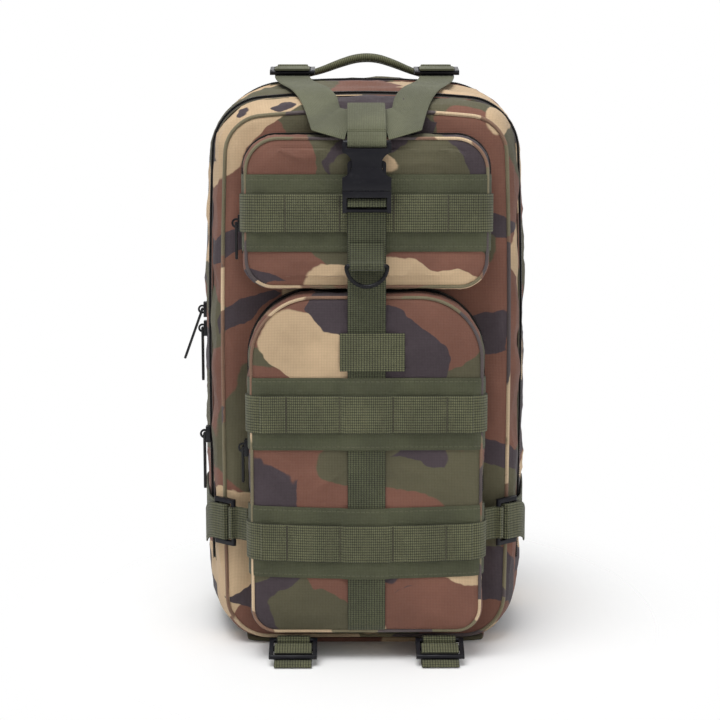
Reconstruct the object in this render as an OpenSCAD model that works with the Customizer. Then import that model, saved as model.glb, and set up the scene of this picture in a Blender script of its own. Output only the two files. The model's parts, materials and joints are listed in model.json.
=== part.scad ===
// Three-compartment assault pack. +Z is up, -Y is the face with the pockets and +Y the
// side worn against the back. The origin is on the ground under the main compartment.

/* [Body] */
// Width of the pack across its main zip
body_w = 245; // [236:1:254]
// Height of the pack at its main zip
body_h = 421; // [410:1:434]
// Depth of the main compartment behind its zip
rear_d = 54; // [50:1:64]
// Depth from the main zip to the divider panel
lid_d = 40; // [36:1:46]
// Depth of the front compartment, from divider to face
front_d = 60; // [56:1:66]
// How far the face's edge lies inside the widest outline, on each side
face_in = 19; // [17:1:22]
// Thickness of the lined cloth shells
wall = 3; // [2.4:0.2:3.6]
// Radius of the upper corners
top_r = 54; // [46:1:60]
// Radius of the lower corners
base_r = 30; // [26:1:36]

/* [Pockets] */
// Width of the upper pocket
upper_w = 174; // [166:1:180]
// Height of the upper pocket
upper_h = 108; // [102:1:111]
// Depth of the upper pocket
upper_d = 35; // [32:1:37]
// Width of the lower pocket
lower_w = 168; // [160:1:174]
// Height of the lower pocket
lower_h = 247; // [241:1:249]
// Depth of the lower pocket
lower_d = 40; // [38:1:43]
// Height of the lower pocket's base above the ground
lower_z = 20; // [19:1:22]

/* [Webbing] */
// Width of the strap and loop webbing
web_w = 27; // [25:0.5:28]
// Thickness of the webbing
web_t = 1.4; // [1.2:0.1:1.5]
// Height of the wide bands that carry the loop webbing
band_h = 52; // [48:1:54]
// Spacing of the loop webbing's bar tacks
tack_pitch = 38; // [34:1:40]
// Height of the side straps' centre line
side_z = 96; // [92:1:100]
// Distance of each bottom strap from the middle
bottom_x = 53; // [46:1:60]

/* [Back] */
// Thickness of the back pads
pad_t = 11; // [8:1:12]
// Width of a padded shoulder strap
strap_w = 56; // [50:1:60]
// Thickness of a padded shoulder strap
strap_t = 11; // [8:1:12]

/* [Buckles] */
// Overall width of a side-release buckle
buckle_w = 34; // [33:0.5:36]
// Overall thickness of a side-release buckle
buckle_t = 8.6; // [8.2:0.2:9.4]
// Length of the socket half of a side-release buckle
socket_l = 31; // [30:0.5:33]
// Thickness of a ladder lock
lock_t = 3.6; // [3.2:0.1:4]
// Diameter of the ring's wire
ring_d = 3; // [2.4:0.2:3.4]

/* [Zips] */
// Length of a main zip pull
pull_l = 42; // [34:1:46]
// Length of a pocket zip pull
short_pull_l = 26; // [22:1:30]
// Width of a zip pull
pull_w = 6; // [5:0.5:7]
// Height above the ground where the zips end
zip_end = 58; // [50:1:66]

/* [Hidden] */
$fn = 32;
gap = 0.3;                       // clearance between pieces that only touch
base_t = 3;                      // base panel
zip_y = 30;                      // main zip plane
back_y = zip_y + rear_d;
divider_y = zip_y - lid_d;
face_y = divider_y - front_d;    // front face of the front compartment
zip2_y = divider_y - front_d / 2;
upper_y = face_y - upper_d;      // front of the upper pocket
lower_y = face_y - lower_d;      // front of the lower pocket
lower_top = lower_z + lower_h;
upper_z = lower_top + 3;         // base of the upper pocket
upper_top = upper_z + upper_h;
band_t = 1;
loop_stand = 1.3;                // how far the loops stand off between bar tacks
loops_t = band_t + loop_stand + web_t;
bow_up = 0.055;                  // narrowing of the upper half's ends
bow_low = 0.018;                 // narrowing of the lower half's ends
crown = 8;                       // arch of the top edge
mid_z = body_h / 2;
web_half = web_w / 2;
bar_r = lock_t / 2;              // round bars of the ladder locks
ring_gap = 0.4;                  // play of a webbing loop on its bar
loop_r = bar_r + ring_gap + web_t;

camo = [0.42, 0.29, 0.22];
olive = [0.30, 0.34, 0.21];
dark_olive = [0.26, 0.29, 0.19];
black = [0.08, 0.08, 0.09];
mesh_black = [0.13, 0.13, 0.14];
steel_black = [0.16, 0.16, 0.17];

// ---------- helpers ----------

function unit(v) = v / norm(v);

function flat(lists) = [for (l = lists) each l];

// Six times the signed volume of a triangle list.
function six_volume(points, faces) =
    let (each_one = [for (f = faces) points[f[0]] * cross(points[f[1]], points[f[2]])])
    each_one * [for (f = faces) 1];

// Solid through a list of rings with equal numbers of points. With wrap it closes on
// itself, and otherwise each end is capped. The winding is corrected by its volume.
module skin(rings, wrap = false) {
    m = len(rings[0]);
    n = len(rings);
    points = flat(rings);
    spans = wrap ? n : n - 1;
    sides = [for (i = [0:spans - 1], j = [0:m - 1])
        let (a = i * m + j, b = i * m + (j + 1) % m,
             c = ((i + 1) % n) * m + (j + 1) % m, d = ((i + 1) % n) * m + j)
        each [[a, b, c], [a, c, d]]];
    caps = wrap ? [] : [
        for (j = [1:m - 2]) [0, j + 1, j],
        for (j = [1:m - 2]) [(n - 1) * m, (n - 1) * m + j, (n - 1) * m + j + 1]];
    faces = concat(sides, caps);
    // OpenSCAD winds faces clockwise from outside, so a sound solid measures negative
    polyhedron(points, six_volume(points, faces) < 0
        ? faces : [for (f = faces) [f[0], f[2], f[1]]]);
}

// Flat webbing along a path: its underside follows the points, and n is its outer face.
module ribbon(path, normals, w = web_w, t = web_t) {
    last = len(path) - 1;
    skin([for (i = [0:last])
        let (along = unit(path[min(i + 1, last)] - path[max(i - 1, 0)]),
             side = unit(cross(along, normals[i])), out = unit(cross(side, along)))
        [path[i] - side * w / 2, path[i] + side * w / 2,
         path[i] + side * w / 2 + out * t, path[i] - side * w / 2 + out * t]]);
}

// Padded strap along a path, with rounded edges and one width for each point.
module padded(path, normals, widths, t) {
    last = len(path) - 1;
    edge = t / 2;
    skin([for (i = [0:last])
        let (along = unit(path[min(i + 1, last)] - path[max(i - 1, 0)]),
             side = unit(cross(along, normals[i])), out = unit(cross(side, along)),
             h = widths[i] / 2 - edge)
        [for (a = [-90:36:90]) path[i] + side * (h + edge * cos(a)) + out * edge * (1 + sin(a)),
         for (a = [90:36:270]) path[i] - side * (h - edge * cos(a)) + out * edge * (1 + sin(a))]]);
}

// Rounded outline in X and Z, anticlockwise from the lower right corner.
function outline(w, z0, z1, rt, rb, arcs = 6, side = 5, top = 5) = concat(
    [for (i = [0:arcs]) let (a = -90 + 90 * i / arcs) [w - rb + rb * cos(a), z0 + rb + rb * sin(a)]],
    [for (i = [1:side]) [w, z0 + rb + (z1 - rt - z0 - rb) * i / (side + 1)]],
    [for (i = [0:arcs]) let (a = 90 * i / arcs) [w - rt + rt * cos(a), z1 - rt + rt * sin(a)]],
    [for (i = [1:top]) [(w - rt) * (1 - 2 * i / (top + 1)), z1]],
    [for (i = [0:arcs]) let (a = 90 + 90 * i / arcs) [rt - w + rt * cos(a), z1 - rt + rt * sin(a)]],
    [for (i = [1:side]) [-w, z1 - rt - (z1 - rt - z0 - rb) * i / (side + 1)]],
    [for (i = [0:arcs]) let (a = 180 + 90 * i / arcs) [rb - w + rb * cos(a), z0 + rb + rb * sin(a)]]);

// The same outline from one zip end up over the top and down to the other.
function arch_line(w, z_end, z1, rt, arcs = 6, side = 7, top = 5) = concat(
    [for (i = [0:side]) [w, z_end + (z1 - rt - z_end) * i / (side + 1)]],
    [for (i = [0:arcs]) let (a = 90 * i / arcs) [w - rt + rt * cos(a), z1 - rt + rt * sin(a)]],
    [for (i = [1:top]) [(w - rt) * (1 - 2 * i / (top + 1)), z1]],
    [for (i = [0:arcs]) let (a = 90 + 90 * i / arcs) [rt - w + rt * cos(a), z1 - rt + rt * sin(a)]],
    [for (i = [1:side + 1]) [-w, z1 - rt - (z1 - rt - z_end) * i / (side + 1)]]);

// The pack's soft outline: narrower towards both ends, with an arched top.
function soften(p, w) =
    let (s = (p[1] - mid_z) / mid_z, bow = s > 0 ? bow_up : bow_low, t = p[1] / body_h)
    [p[0] * (1 - bow * s * s), p[1] - crown * pow(t, 4) * pow(p[0] / w, 2)];

// Half width, top and base of the pack at depth y.
function half_w(y) = body_w / 2 - lookup(y, [
    [face_y, face_in], [face_y + 8, face_in - 4.5], [zip2_y, 7.5], [divider_y, 2.5],
    [zip_y, 0], [zip_y + 20, 1.5], [back_y - 12, 5], [back_y - 4, 8], [back_y, 11]]);

function top_z(y) = body_h - lookup(y, [
    [face_y, 27], [face_y + 8, 21], [zip2_y, 13], [divider_y, 6.5], [zip_y, 1],
    [zip_y + 20, 0], [back_y - 12, 2], [back_y - 4, 5], [back_y, 9]]);

function low_z(y) = base_t + gap + lookup(y, [
    [face_y, 4], [face_y + 8, 0], [back_y - 12, 0], [back_y - 4, 2], [back_y, 6]]);

// Radius of the upper corners at depth y: the face is squarer than the back.
function corner_r(y) = top_r * lookup(y, [[face_y, 0.44], [zip2_y, 0.62], [divider_y, 0.82], [zip_y, 1]]);

// One cross-section of the pack at depth y, drawn in by inset.
function shell_ring(y, inset) =
    let (w = half_w(y) - inset)
    [for (p = outline(w, low_z(y) + inset, top_z(y) - inset, corner_r(y) - inset, base_r - inset))
        let (q = soften(p, w)) [q[0], y, q[1]]];

// Zip tape and coil along the pack's outline. side is 1 for the tape behind the zip
// plane and -1 for the tape in front of it.
tape_lift = 0.25;
coil_half = 1.9;
coil_t = 1.9;
module zip_half(y, side) {
    tape_w = 7;
    tape_t = 0.7;
    section = [[gap / 2, 0], [tape_w, 0], [tape_w, tape_t], [coil_half, tape_t],
               [coil_half, coil_t], [gap / 2, coil_t]];
    function line_at(y) = arch_line(half_w(y), zip_end, top_z(y), corner_r(y));
    line = line_at(y);
    lines = [for (s = section) line_at(y + side * s[0])];
    last = len(line) - 1;
    skin([for (i = [0:last])
        let (d = unit(line[min(i + 1, last)] - line[max(i - 1, 0)]), out = [d[1], -d[0]])
        [for (k = [0:len(section) - 1])
            let (s = section[k], yy = y + side * s[0], lift = tape_lift + s[1],
                 q = soften(lines[k][i], half_w(yy)))
            [q[0] + out[0] * lift, yy, q[1] + out[1] * lift]]]);
}

// Pocket: a shell closed in front and open where it is sewn to the face.
pocket_soft = 9;
module pocket(w, z0, z1, rt, rb, front) {
    skin_t = 2;
    function at(y, inset) = [for (p = outline(w / 2 - inset, z0 + inset, z1 - inset,
        rt - inset / 2, rb - inset / 2, side = 2, top = 2)) [p[0], y, p[1]]];
    skin([at(front + skin_t, pocket_soft), at(front + pocket_soft, skin_t + 0.5),
          at(face_y - gap, skin_t), at(face_y - gap, 0), at(front + pocket_soft, 0),
          at(front + 3, 3), at(front, pocket_soft)]);
}

// Zip coil round a pocket's side, between its two zip ends.
module pocket_zip(w, z_end, z1, rt, y) {
    line = arch_line(w / 2, z_end, z1, rt, side = 2, top = 2);
    last = len(line) - 1;
    skin([for (i = [0:last])
        let (d = unit(line[min(i + 1, last)] - line[max(i - 1, 0)]), out = [d[1], -d[0]])
        [for (s = [[-2.2, tape_lift], [2.2, tape_lift], [2.2, 1.6], [-2.2, 1.6]])
            [line[i][0] + out[0] * s[1], y + s[0], line[i][1] + out[1] * s[1]]]]);
}

// Outline of a band of thickness t along a path of points.
function thick(path, t) =
    let (n = len(path) - 1,
         off = [for (i = [0:n])
             let (a = unit(path[max(i, 1)] - path[max(i, 1) - 1]),
                  b = unit(path[min(i, n - 1) + 1] - path[min(i, n - 1)]), m = unit(a + b))
             [-m[1], m[0]] * t / 2 / max(m * a, 0.5)])
    concat([for (i = [0:n]) path[i] + off[i]], [for (i = [n:-1:0]) path[i] - off[i]]);

// Webbing along a path in Y and Z, centred on x = 0.
module strap_yz(path, w = web_w, t = web_t) rotate([90, 0, 90])
    linear_extrude(w, center = true) polygon(thick(path, t));

// Band wrapped over the front of a pocket, raised by over where it crosses a strap.
module band(w, z, front, h, t, over = 0) translate([0, 0, z - h / 2]) linear_extrude(h)
    polygon(thick([for (p = [[-1, pocket_soft], [-1 + 6 / w, 3], [-1 + 2 * pocket_soft / w, 0],
        [-2 * (web_half + 4.6) / w, 0], [-2 * (web_half + 0.6) / w, -over],
        [2 * (web_half + 0.6) / w, -over], [2 * (web_half + 4.6) / w, 0],
        [1 - 2 * pocket_soft / w, 0], [1 - 6 / w, 3], [1, pocket_soft]])
        [p[0] * (w / 2 + t / 2 + 0.05), front + p[1] - t / 2 - 0.05]], t));

// Loop webbing on a band: it stands off between its bar tacks.
module loop_webbing(w, z, front, over = 0) {
    reach = w / 2 - pocket_soft;
    step = reach / 18;
    function lift(x) = max(loop_stand * sqrt(abs(cos(180 * x / tack_pitch))),
        over * 1.2 * min(1, max(0, (tack_pitch / 2 - abs(x)) / 4)));
    translate([0, 0, z - web_half]) linear_extrude(web_w) polygon(thick(
        [for (i = [-18:18]) [i * step, front - band_t - 0.1 - web_t / 2 - lift(i * step)]], web_t));
}

// ---------- hardware ----------

// Ladder lock lying in X and Y: its webbing runs along Y and its bars along X.
lock_reach = 8.5;                // from the middle bar to an end bar
rail_w = 3;
module ladder_lock() {
    half = web_half + 0.8;
    for (s = [-1, 1]) translate([s * (half + rail_w / 2) - rail_w / 2, -lock_reach, -bar_r])
        cube([rail_w, 2 * lock_reach, lock_t]);
    for (y = [-lock_reach, lock_reach]) translate([-half - rail_w, y, 0])
        rotate([0, 90, 0]) cylinder(r = bar_r, h = 2 * (half + rail_w));
    translate([-half - 1, -1.4, 0.4 - bar_r]) cube([2 * half + 2, 2.8, lock_t - 0.8]);
}

// Webbing folded round the middle bar of a lock, both plies running to +Y.
fold_z = bar_r + 0.4 + web_t / 2;
module lock_fold(load, tail) strap_yz([[load, -fold_z], [-1.4, -fold_z], [-2.8, 1.3 - fold_z],
    [-2.8, fold_z - 1.3], [-1.4, fold_z], [tail, fold_z]]);

// Webbing loop round a bar on the X axis, with its sewn ply along a path in Y and Z.
module bar_loop(path, w = web_w) difference() {
    union() {
        rotate([0, 90, 0]) cylinder(r = loop_r, h = w, center = true);
        strap_yz(path, w, 2 * web_t);
    }
    rotate([0, 90, 0]) cylinder(r = bar_r + ring_gap, h = w + 2, center = true);
}

// Side-release socket: its mouth is at z = 0 and opens downwards.
module socket_half(w = buckle_w) {
    slot_w = w - 6.4;
    slot_t = buckle_t - 3.4;
    bar_z = socket_l + bar_r;
    rail = (w - web_w) / 2 - 0.6;
    difference() {
        union() {
            translate([-w / 2, -buckle_t / 2, 0]) cube([w, buckle_t, socket_l * 0.5]);
            translate([-w / 2 + 1.4, -buckle_t / 2 + 0.4, 0])
                cube([w - 2.8, buckle_t - 0.8, bar_z - loop_r - 0.3]);
            for (s = [-1, 1]) translate([s * (w - rail) / 2 - rail / 2, -bar_r, socket_l * 0.4])
                cube([rail, lock_t, bar_z - socket_l * 0.4]);
        }
        translate([-slot_w / 2, -slot_t / 2, -1]) cube([slot_w, slot_t, bar_z - loop_r - 2]);
        // side windows where the latch arms are pinched
        for (s = [-1, 1]) translate([s * (w * 0.56), 0, socket_l * 0.57])
            rotate([90, 0, 0]) cylinder(r = w * 0.26, h = 2 * buckle_t, center = true);
    }
    translate([-w / 2 + 0.5, 0, bar_z]) rotate([0, 90, 0]) cylinder(r = bar_r, h = w - 1);
}

// Side-release plug: latch arms and tongue above z = 0, ladder frame below it.
plug_low = 15.4;
bar_hi = 8.4;
bar_lo = 13.6;
thin_bar = 1.4;
module plug_half(w = buckle_w) {
    arm_w = 2.6;
    reach = socket_l - 10;
    arm_t = buckle_t - 4.2;
    edge = (w - 6.4) / 2 - 0.35;
    for (s = [-1, 1]) {
        translate([s * (edge - arm_w / 2 - 1.6) - arm_w / 2, -arm_t / 2, -2])
            cube([arm_w, arm_t, reach * 0.6 + 2]);
        translate([s * (edge - arm_w / 2) - arm_w / 2, -arm_t / 2, reach * 0.5])
            cube([arm_w, arm_t, reach * 0.38]);
        translate([s * (edge - arm_w), 0, reach * 0.86])
            rotate([90, 0, 0]) cylinder(r = arm_w, h = arm_t, center = true);
    }
    translate([-1.6, -arm_t / 2, -2]) cube([3.2, arm_t, reach * 0.8]);
    // shoulder below the socket's mouth
    translate([-w / 2, -buckle_t / 2, -4.8]) cube([w, buckle_t, 4.4]);
    // rails and the two crossbars that hold the webbing
    rail = (w - web_w) / 2 - 0.5;
    for (s = [-1, 1]) translate([s * (w - rail) / 2 - rail / 2, -2.4, -plug_low])
        cube([rail, 4.8, plug_low - 1]);
    for (z = [bar_hi, bar_lo]) translate([-w / 2 + 0.5, 0, -z])
        rotate([0, 90, 0]) cylinder(r = thin_bar, h = w - 1);
}

// Webbing threaded through a plug's ladder frame, with its tail in front.
ply_y = thin_bar + 0.35 + web_t / 2;
module plug_fold(load, tail) strap_yz([[ply_y, -load], [ply_y, 0.6 - bar_hi],
    [1.1, thin_bar + 1.05 - bar_hi], [-1.1, thin_bar + 1.05 - bar_hi], [-ply_y, 0.6 - bar_hi],
    [-ply_y, -tail]]);

// Zip slider on a wall that faces -X, travelling along Z. The origin is on the wall.
slider_l = 12;
slider_w = 8.4;
slider_in = 1.2;
slider_out = 4.6;
bail_r = 2.6;
bail_x = slider_out + 1.2;
module slider() {
    difference() {
        translate([-slider_out, -slider_w / 2, -slider_l / 2])
            cube([slider_out - slider_in, slider_w, slider_l]);
        // channel for the coil
        translate([-coil_t - tape_lift - 0.5, -coil_half - 0.5, -slider_l])
            cube([5, 2 * coil_half + 1, 2 * slider_l]);
    }
    // bail that carries the pull
    difference() {
        translate([-bail_x, 0, 0]) rotate([90, 0, 0])
            cylinder(r = bail_r + 0.9, h = 2, center = true);
        translate([-bail_x, 0, 0]) rotate([90, 0, 0]) cylinder(r = bail_r - 0.6, h = 4, center = true);
    }
}

// Zip pull hanging from its bail: a pin through the bail, cheeks and a tab with a slot.
module pull(l = pull_l) {
    t = 1.8;
    rotate([90, 0, 0]) cylinder(r = 1.1, h = pull_w, center = true);
    for (s = [-1, 1]) translate([-t / 2, s * (pull_w / 2 - 0.7) - 0.7, -l * 0.3])
        cube([t, 1.4, l * 0.3 + 0.5]);
    difference() {
        union() {
            translate([-t / 2, -pull_w / 2, pull_w / 2 - l]) cube([t, pull_w, l * 0.75]);
            translate([0, 0, pull_w / 2 - l]) rotate([0, 90, 0]) cylinder(d = pull_w, h = t, center = true);
        }
        translate([-t, -pull_w * 0.25, pull_w / 2 - l]) cube([2 * t, pull_w * 0.5, l * 0.22]);
    }
}

// ---------- pack, rear half ----------

// Stiff base: the flat face the pack stands on.
base_front = face_y + 4;
base_half = body_w / 2 - base_r;
module base_panel() color(camo) translate([0, 0, 0]) linear_extrude(base_t) union() {
    translate([-base_half, base_front + 8]) square([2 * base_half, back_y - base_front - 14]);
    translate([8 - base_half, base_front]) square([2 * base_half - 16, back_y - base_front - 6]);
    for (s = [-1, 1]) translate([s * (base_half - 8), base_front + 8]) circle(8);
}

module rear_shell() color(camo) {
    open = zip_y + gap / 2;
    skin([shell_ring(back_y - wall, wall + 9), for (y = [back_y - 12, zip_y + 20, open])
        shell_ring(y, wall), for (y = [open, zip_y + 20, back_y - 12, back_y - 4, back_y])
        shell_ring(y, 0)]);
}

// Rounded plate in X and Z, standing on depth y.
module plate(w, z0, z1, y, t, r = 10) translate([0, y + t, z0]) rotate([90, 0, 0])
    linear_extrude(t) union() {
        translate([-w / 2, r]) square([w, z1 - z0 - 2 * r]);
        translate([-w / 2 + r, 0]) square([w - 2 * r, z1 - z0]);
        for (x = [-1, 1], z = [r, z1 - z0 - r]) translate([x * (w / 2 - r), z]) circle(r);
    }

pad_w = body_w * 0.31;
module back_pads() color(mesh_black) {
    for (s = [-1, 1]) translate([s * (pad_w / 2 + 6), 0, 0])
        plate(pad_w, 102, body_h - 36, back_y + gap, pad_t, 16);
    plate(2 * pad_w + 12, 14, 94, back_y + gap, pad_t, 16);
}

sheet_t = 1.6;
sheet_y = back_y - wall - sheet_t - gap;
module frame_sheet() color(black) plate(body_w - 52, 24, body_h - 34, sheet_y, sheet_t, 24);

sleeve_d = 9;
module inner_sleeve() color(dark_olive) {
    sleeve_w = body_w - 66;
    sleeve_h = body_h * 0.66;
    translate([-sleeve_w / 2, sheet_y - gap - sleeve_d, 26]) difference() {
        cube([sleeve_w, sleeve_d, sleeve_h]);
        translate([1.2, 1.2, 1.2]) cube([sleeve_w - 2.4, sleeve_d, sleeve_h]);
    }
}

module main_zip_rear() color(black) zip_half(zip_y, 1);

// Webbing stubs that hold the top ladder locks, and the tabs of the haul handle.
lock_x = 56;
lock_tilt = 12;
lock_z = body_h + 7;
lock_y = zip_y + 6;
axis_y = lock_y + lock_reach * cos(lock_tilt);
axis_z = lock_z + lock_reach * sin(lock_tilt);
handle_y = axis_y + 22;
handle_x = 47;
handle_z = body_h + 5;
stub_w = web_w * 0.88;
tab_w = 10;
module top_anchors() color(olive) {
    for (s = [-1, 1]) {
        translate([s * lock_x, axis_y, axis_z])
            bar_loop([[loop_r - web_t, -1.6], [loop_r + 5, -4.6], [15, body_h - axis_z - 1.1]], stub_w);
        translate([s * (handle_x + gap + tab_w / 2) - tab_w / 2, handle_y - 6, top_z(handle_y) - 0.6])
            cube([tab_w, 12, handle_z + 3 - top_z(handle_y)]);
    }
}

// Side loop webbing: a tall band with webbing rows bar-tacked on it.
side_rows = [145, 276];
module side_loops() color(olive) for (s = [0, 1], z = side_rows) {
    narrow = soften([1, z + web_half], 1)[0];
    mirror([s, 0, 0]) translate([0, 0, z - web_half]) linear_extrude(web_w)
        polygon(thick([for (p = [[12, 0.9], [16, 2.6], [28, 2.6], [32, 0.9], [36, 2.6], [46, 2.6],
            [50, 0.9]]) [half_w(zip_y + p[0]) * narrow + p[1] + 0.4, zip_y + p[0]]], web_t));
}

// Straps under the base: each comes out below the lower pocket and threads a lock.
foot_y = lower_y - 3;
foot_z = 10.6;
foot_tilt = 26;
module at_foot(s) translate([s * bottom_x, foot_y, foot_z]) rotate([foot_tilt, 0, 0]) children();
module bottom_straps() color(olive) for (s = [-1, 1]) {
    at_foot(s) mirror([0, 1, 0]) lock_fold(9, 12);
    translate([s * bottom_x, 0, 0]) strap_yz([
        [foot_y - 7.2, foot_z - 6.3], [foot_y - 10.4, 3.6], [foot_y - 13.4, 2.6], [foot_y - 14.2, 1.6],
        [foot_y - 12.6, 0.75], [foot_y, 0.75], [base_front - gap, 0.75]]);
    translate([s * bottom_x, foot_y, foot_z] + lock_reach * [0, cos(foot_tilt), sin(foot_tilt)])
        bar_loop([[loop_r - web_t, 0], [8.4, -0.3], [21.4, -5.3], [33.4, -12.1], [37.6, -12.1]], stub_w);
}

module bottom_locks() color(black) for (s = [-1, 1]) at_foot(s) ladder_lock();

// ---------- haul handle ----------

module haul_handle() color(olive) {
    line = [[-1, 0, 11], [-0.72, 3.5, 15], [-0.4, 9.5, 22], [-0.1, 13.5, 25], [0.2, 13.5, 25],
            [0.5, 9, 22], [0.78, 3.5, 15], [1, 0, 11]];
    padded([for (p = line) [p[0] * (handle_x - 1.6), handle_y, handle_z - 2.1 + p[1]]],
        [for (p = line) [0, 0, 1]], [for (p = line) p[2]], 4.2);
}

// ---------- Y strap over the top ----------

socket_z = lower_top + 73;       // mouth of the front buckle
buckle_y = upper_y - loops_t - buckle_t / 2 - 0.6;
module at_top_lock(s) translate([s * lock_x, lock_y, lock_z]) rotate([lock_tilt, 0, 0]) children();

// One arm, from its tail over the lock's middle bar, under it and down to the patch.
// Each row of it has an inner point, an outer point and the normal of its lower face.
module strap_arm() {
    turn = bar_r + 0.4;
    fold = [[-12, turn, 0, 1], [-0.8, turn, 0.3, 1], [1.7, 1.2, 1, 0.4], [1.7, -1.2, 1, -0.4],
            [-0.8, -turn, 0.3, -1], [-12, -turn, 0, -1]];
    function tilt(a, b) = [a * cos(lock_tilt) - b * sin(lock_tilt), a * sin(lock_tilt) + b * cos(lock_tilt)];
    // centre x and y, turn of the row and height above the pack's top
    run = [[53, 4, 8, 2.4], [47, -18, 14, 2.6], [40, zip2_y, 16, 4.1], [33, face_y + 10, 25, 3]];
    rows = concat(
        [for (f = fold) let (p = tilt(f[0], f[1]), n = tilt(f[2], f[3]),
                             y = lock_y + p[0], z = lock_z + p[1])
            [[lock_x - web_half, y, z], [lock_x + web_half, y, z], [0, n[0], n[1]]]],
        [for (r = run) let (h = web_half * [cos(r[2]), sin(r[2])], a = r[1] + h[1], b = r[1] - h[1])
            [[r[0] - h[0], a, top_z(a) + r[3]], [r[0] + h[0], b, top_z(b) + r[3]], [0, 0.2, -1]]],
        [[[18.7, face_y + 1, top_z(face_y) + 3.4], [38.4, upper_y + 1, upper_top + 3.5], [0, 0.5, -1]],
         [[9.5, face_y - 7, top_z(face_y) + 0.6],
          [15.4, buckle_y, socket_z + socket_l + bar_r + 1.6], [0, 0.8, -1]]]);
    skin([for (r = rows) let (n = unit(r[2]) * web_t) [r[0], r[1], r[1] + n, r[0] + n]]);
}

module top_strap() color(olive) {
    bar_z = socket_z + socket_l + bar_r;
    strap_arm();
    mirror([1, 0, 0]) strap_arm();
    // patch sewn over the meeting arms, looped round the socket's bar
    strap_yz([[face_y - 4, top_z(face_y) + 3], [upper_y + 2, upper_top + 9.5],
              [buckle_y - 1.6, bar_z + loop_r + 3], [buckle_y - 0.4, bar_z + loop_r - 0.6]]);
    translate([0, buckle_y, bar_z]) bar_loop([[0, loop_r - 0.8], [-0.6, loop_r + 3]], web_w);
}

module top_locks() color(black) for (s = [-1, 1]) at_top_lock(s) ladder_lock();

module buckle_socket() color(black) translate([0, buckle_y, socket_z]) socket_half();

// ---------- main lid ----------

module gusset() color(camo) {
    y0 = zip2_y + gap / 2;
    y1 = zip_y - gap / 2;
    skin([for (y = [y0, divider_y, y1]) shell_ring(y, 0),
          for (y = [y1, divider_y, y0]) shell_ring(y, wall)], wrap = true);
}

divider_t = 1.6;
module divider_panel() color(dark_olive)
    skin([for (y = [divider_y, divider_y + divider_t]) shell_ring(y, wall + 0.1)]);

// Open-topped pocket on a panel: its back is at depth y and it opens along dir.
module open_pocket(w, z0, h, y, d, dir) {
    t = 1.2;
    translate([-w / 2, dir > 0 ? y : y - d, z0]) difference() {
        cube([w, d, h]);
        translate([t, dir > 0 ? -t : t, t]) cube([w - 2 * t, d, h]);
    }
}

// Mesh pockets in the lid: width, and floor, height and depth of each.
mesh_w = body_w * 0.7;
mesh_z = 60;
mesh_h = 140;
mesh_d = 10;
high_mesh_z = 222;
high_mesh_h = 90;
high_mesh_d = 8;
module lid_mesh() color(mesh_black) {
    open_pocket(mesh_w, mesh_z, mesh_h, divider_y + divider_t + 0.1, mesh_d, 1);
    open_pocket(mesh_w, high_mesh_z, high_mesh_h, divider_y + divider_t + 0.1, high_mesh_d, 1);
}

// Three slots side by side on the divider's front.
slot_w = 50;
slot_gap = 4;
slot_z = 70;
slot_h = 150;
slot_d = 9;
module organiser() color(dark_olive) for (i = [-1:1]) translate([i * (slot_w + slot_gap), 0, 0])
    open_pocket(slot_w, slot_z, slot_h, divider_y - 0.1, slot_d, -1);

module main_zip_front() color(black) zip_half(zip_y, -1);
module front_zip_rear() color(black) zip_half(zip2_y, 1);

// ---------- front compartment ----------

module front_shell() color(camo) {
    open = zip2_y - gap / 2;
    skin([shell_ring(face_y + wall, wall + 6), for (y = [face_y + 8, open]) shell_ring(y, wall),
          for (y = [open, face_y + 8]) shell_ring(y, 0),
          shell_ring(face_y + 2, 0.8), shell_ring(face_y, 3)]);
}

module front_zip_front() color(black) zip_half(zip2_y, -1);

module upper_pocket() color(camo) pocket(upper_w, upper_z, upper_top, 24, 20, upper_y);
module lower_pocket() color(camo) pocket(lower_w, lower_z, lower_top, 46, 18, lower_y);

pocket_zip_y = face_y - 14;
module pocket_zips() color(black) {
    pocket_zip(upper_w, upper_z + 24, upper_top, 24, pocket_zip_y);
    pocket_zip(lower_w, lower_z + 100, lower_top, 46, pocket_zip_y);
}

upper_row = upper_z + 54;
lower_rows = [lower_z + 70, lower_z + 162];
sewn_t = web_t + 0.2;            // room that the strap takes under the bands
module pocket_bands() color(dark_olive) {
    band(upper_w, upper_row, upper_y, band_h + 2, band_t);
    for (z = lower_rows) band(lower_w, z, lower_y, band_h, band_t, sewn_t);
}

module pocket_loops() color(olive) {
    loop_webbing(upper_w, upper_row, upper_y);
    for (z = lower_rows) loop_webbing(lower_w, z, lower_y, sewn_t);
}

strap_in = lower_y - loops_t - 0.5;
ring_z = lower_top + 21;
sewn_y = lower_y - web_t / 2 - 0.1;
module centre_strap() color(olive) {
    translate([0, buckle_y, socket_z]) plug_fold(24, 11.2);
    strap_yz([[buckle_y + ply_y, socket_z - 23.9], [buckle_y + ply_y, ring_z + 12],
              [strap_in - web_t / 2, ring_z - 24], [sewn_y, lower_top - 24],
              // sewn flat on the lower pocket, below its bands, and under its base
              [sewn_y, lower_z + pocket_soft], [sewn_y + 3.2, lower_z + 2.4],
              [sewn_y + 9.6, lower_z - 0.8], [lower_y + 16, lower_z - 0.8]]);
    // fold that carries the ring's straight side
    translate([0, ring_y, ring_z]) ring_fold();
}

module strap_patch() color(olive)
    translate([-46 / 2 + 4, lower_y - sewn_t - 1.2, lower_top - 54]) cube([46, 1.2, 27]);

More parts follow.
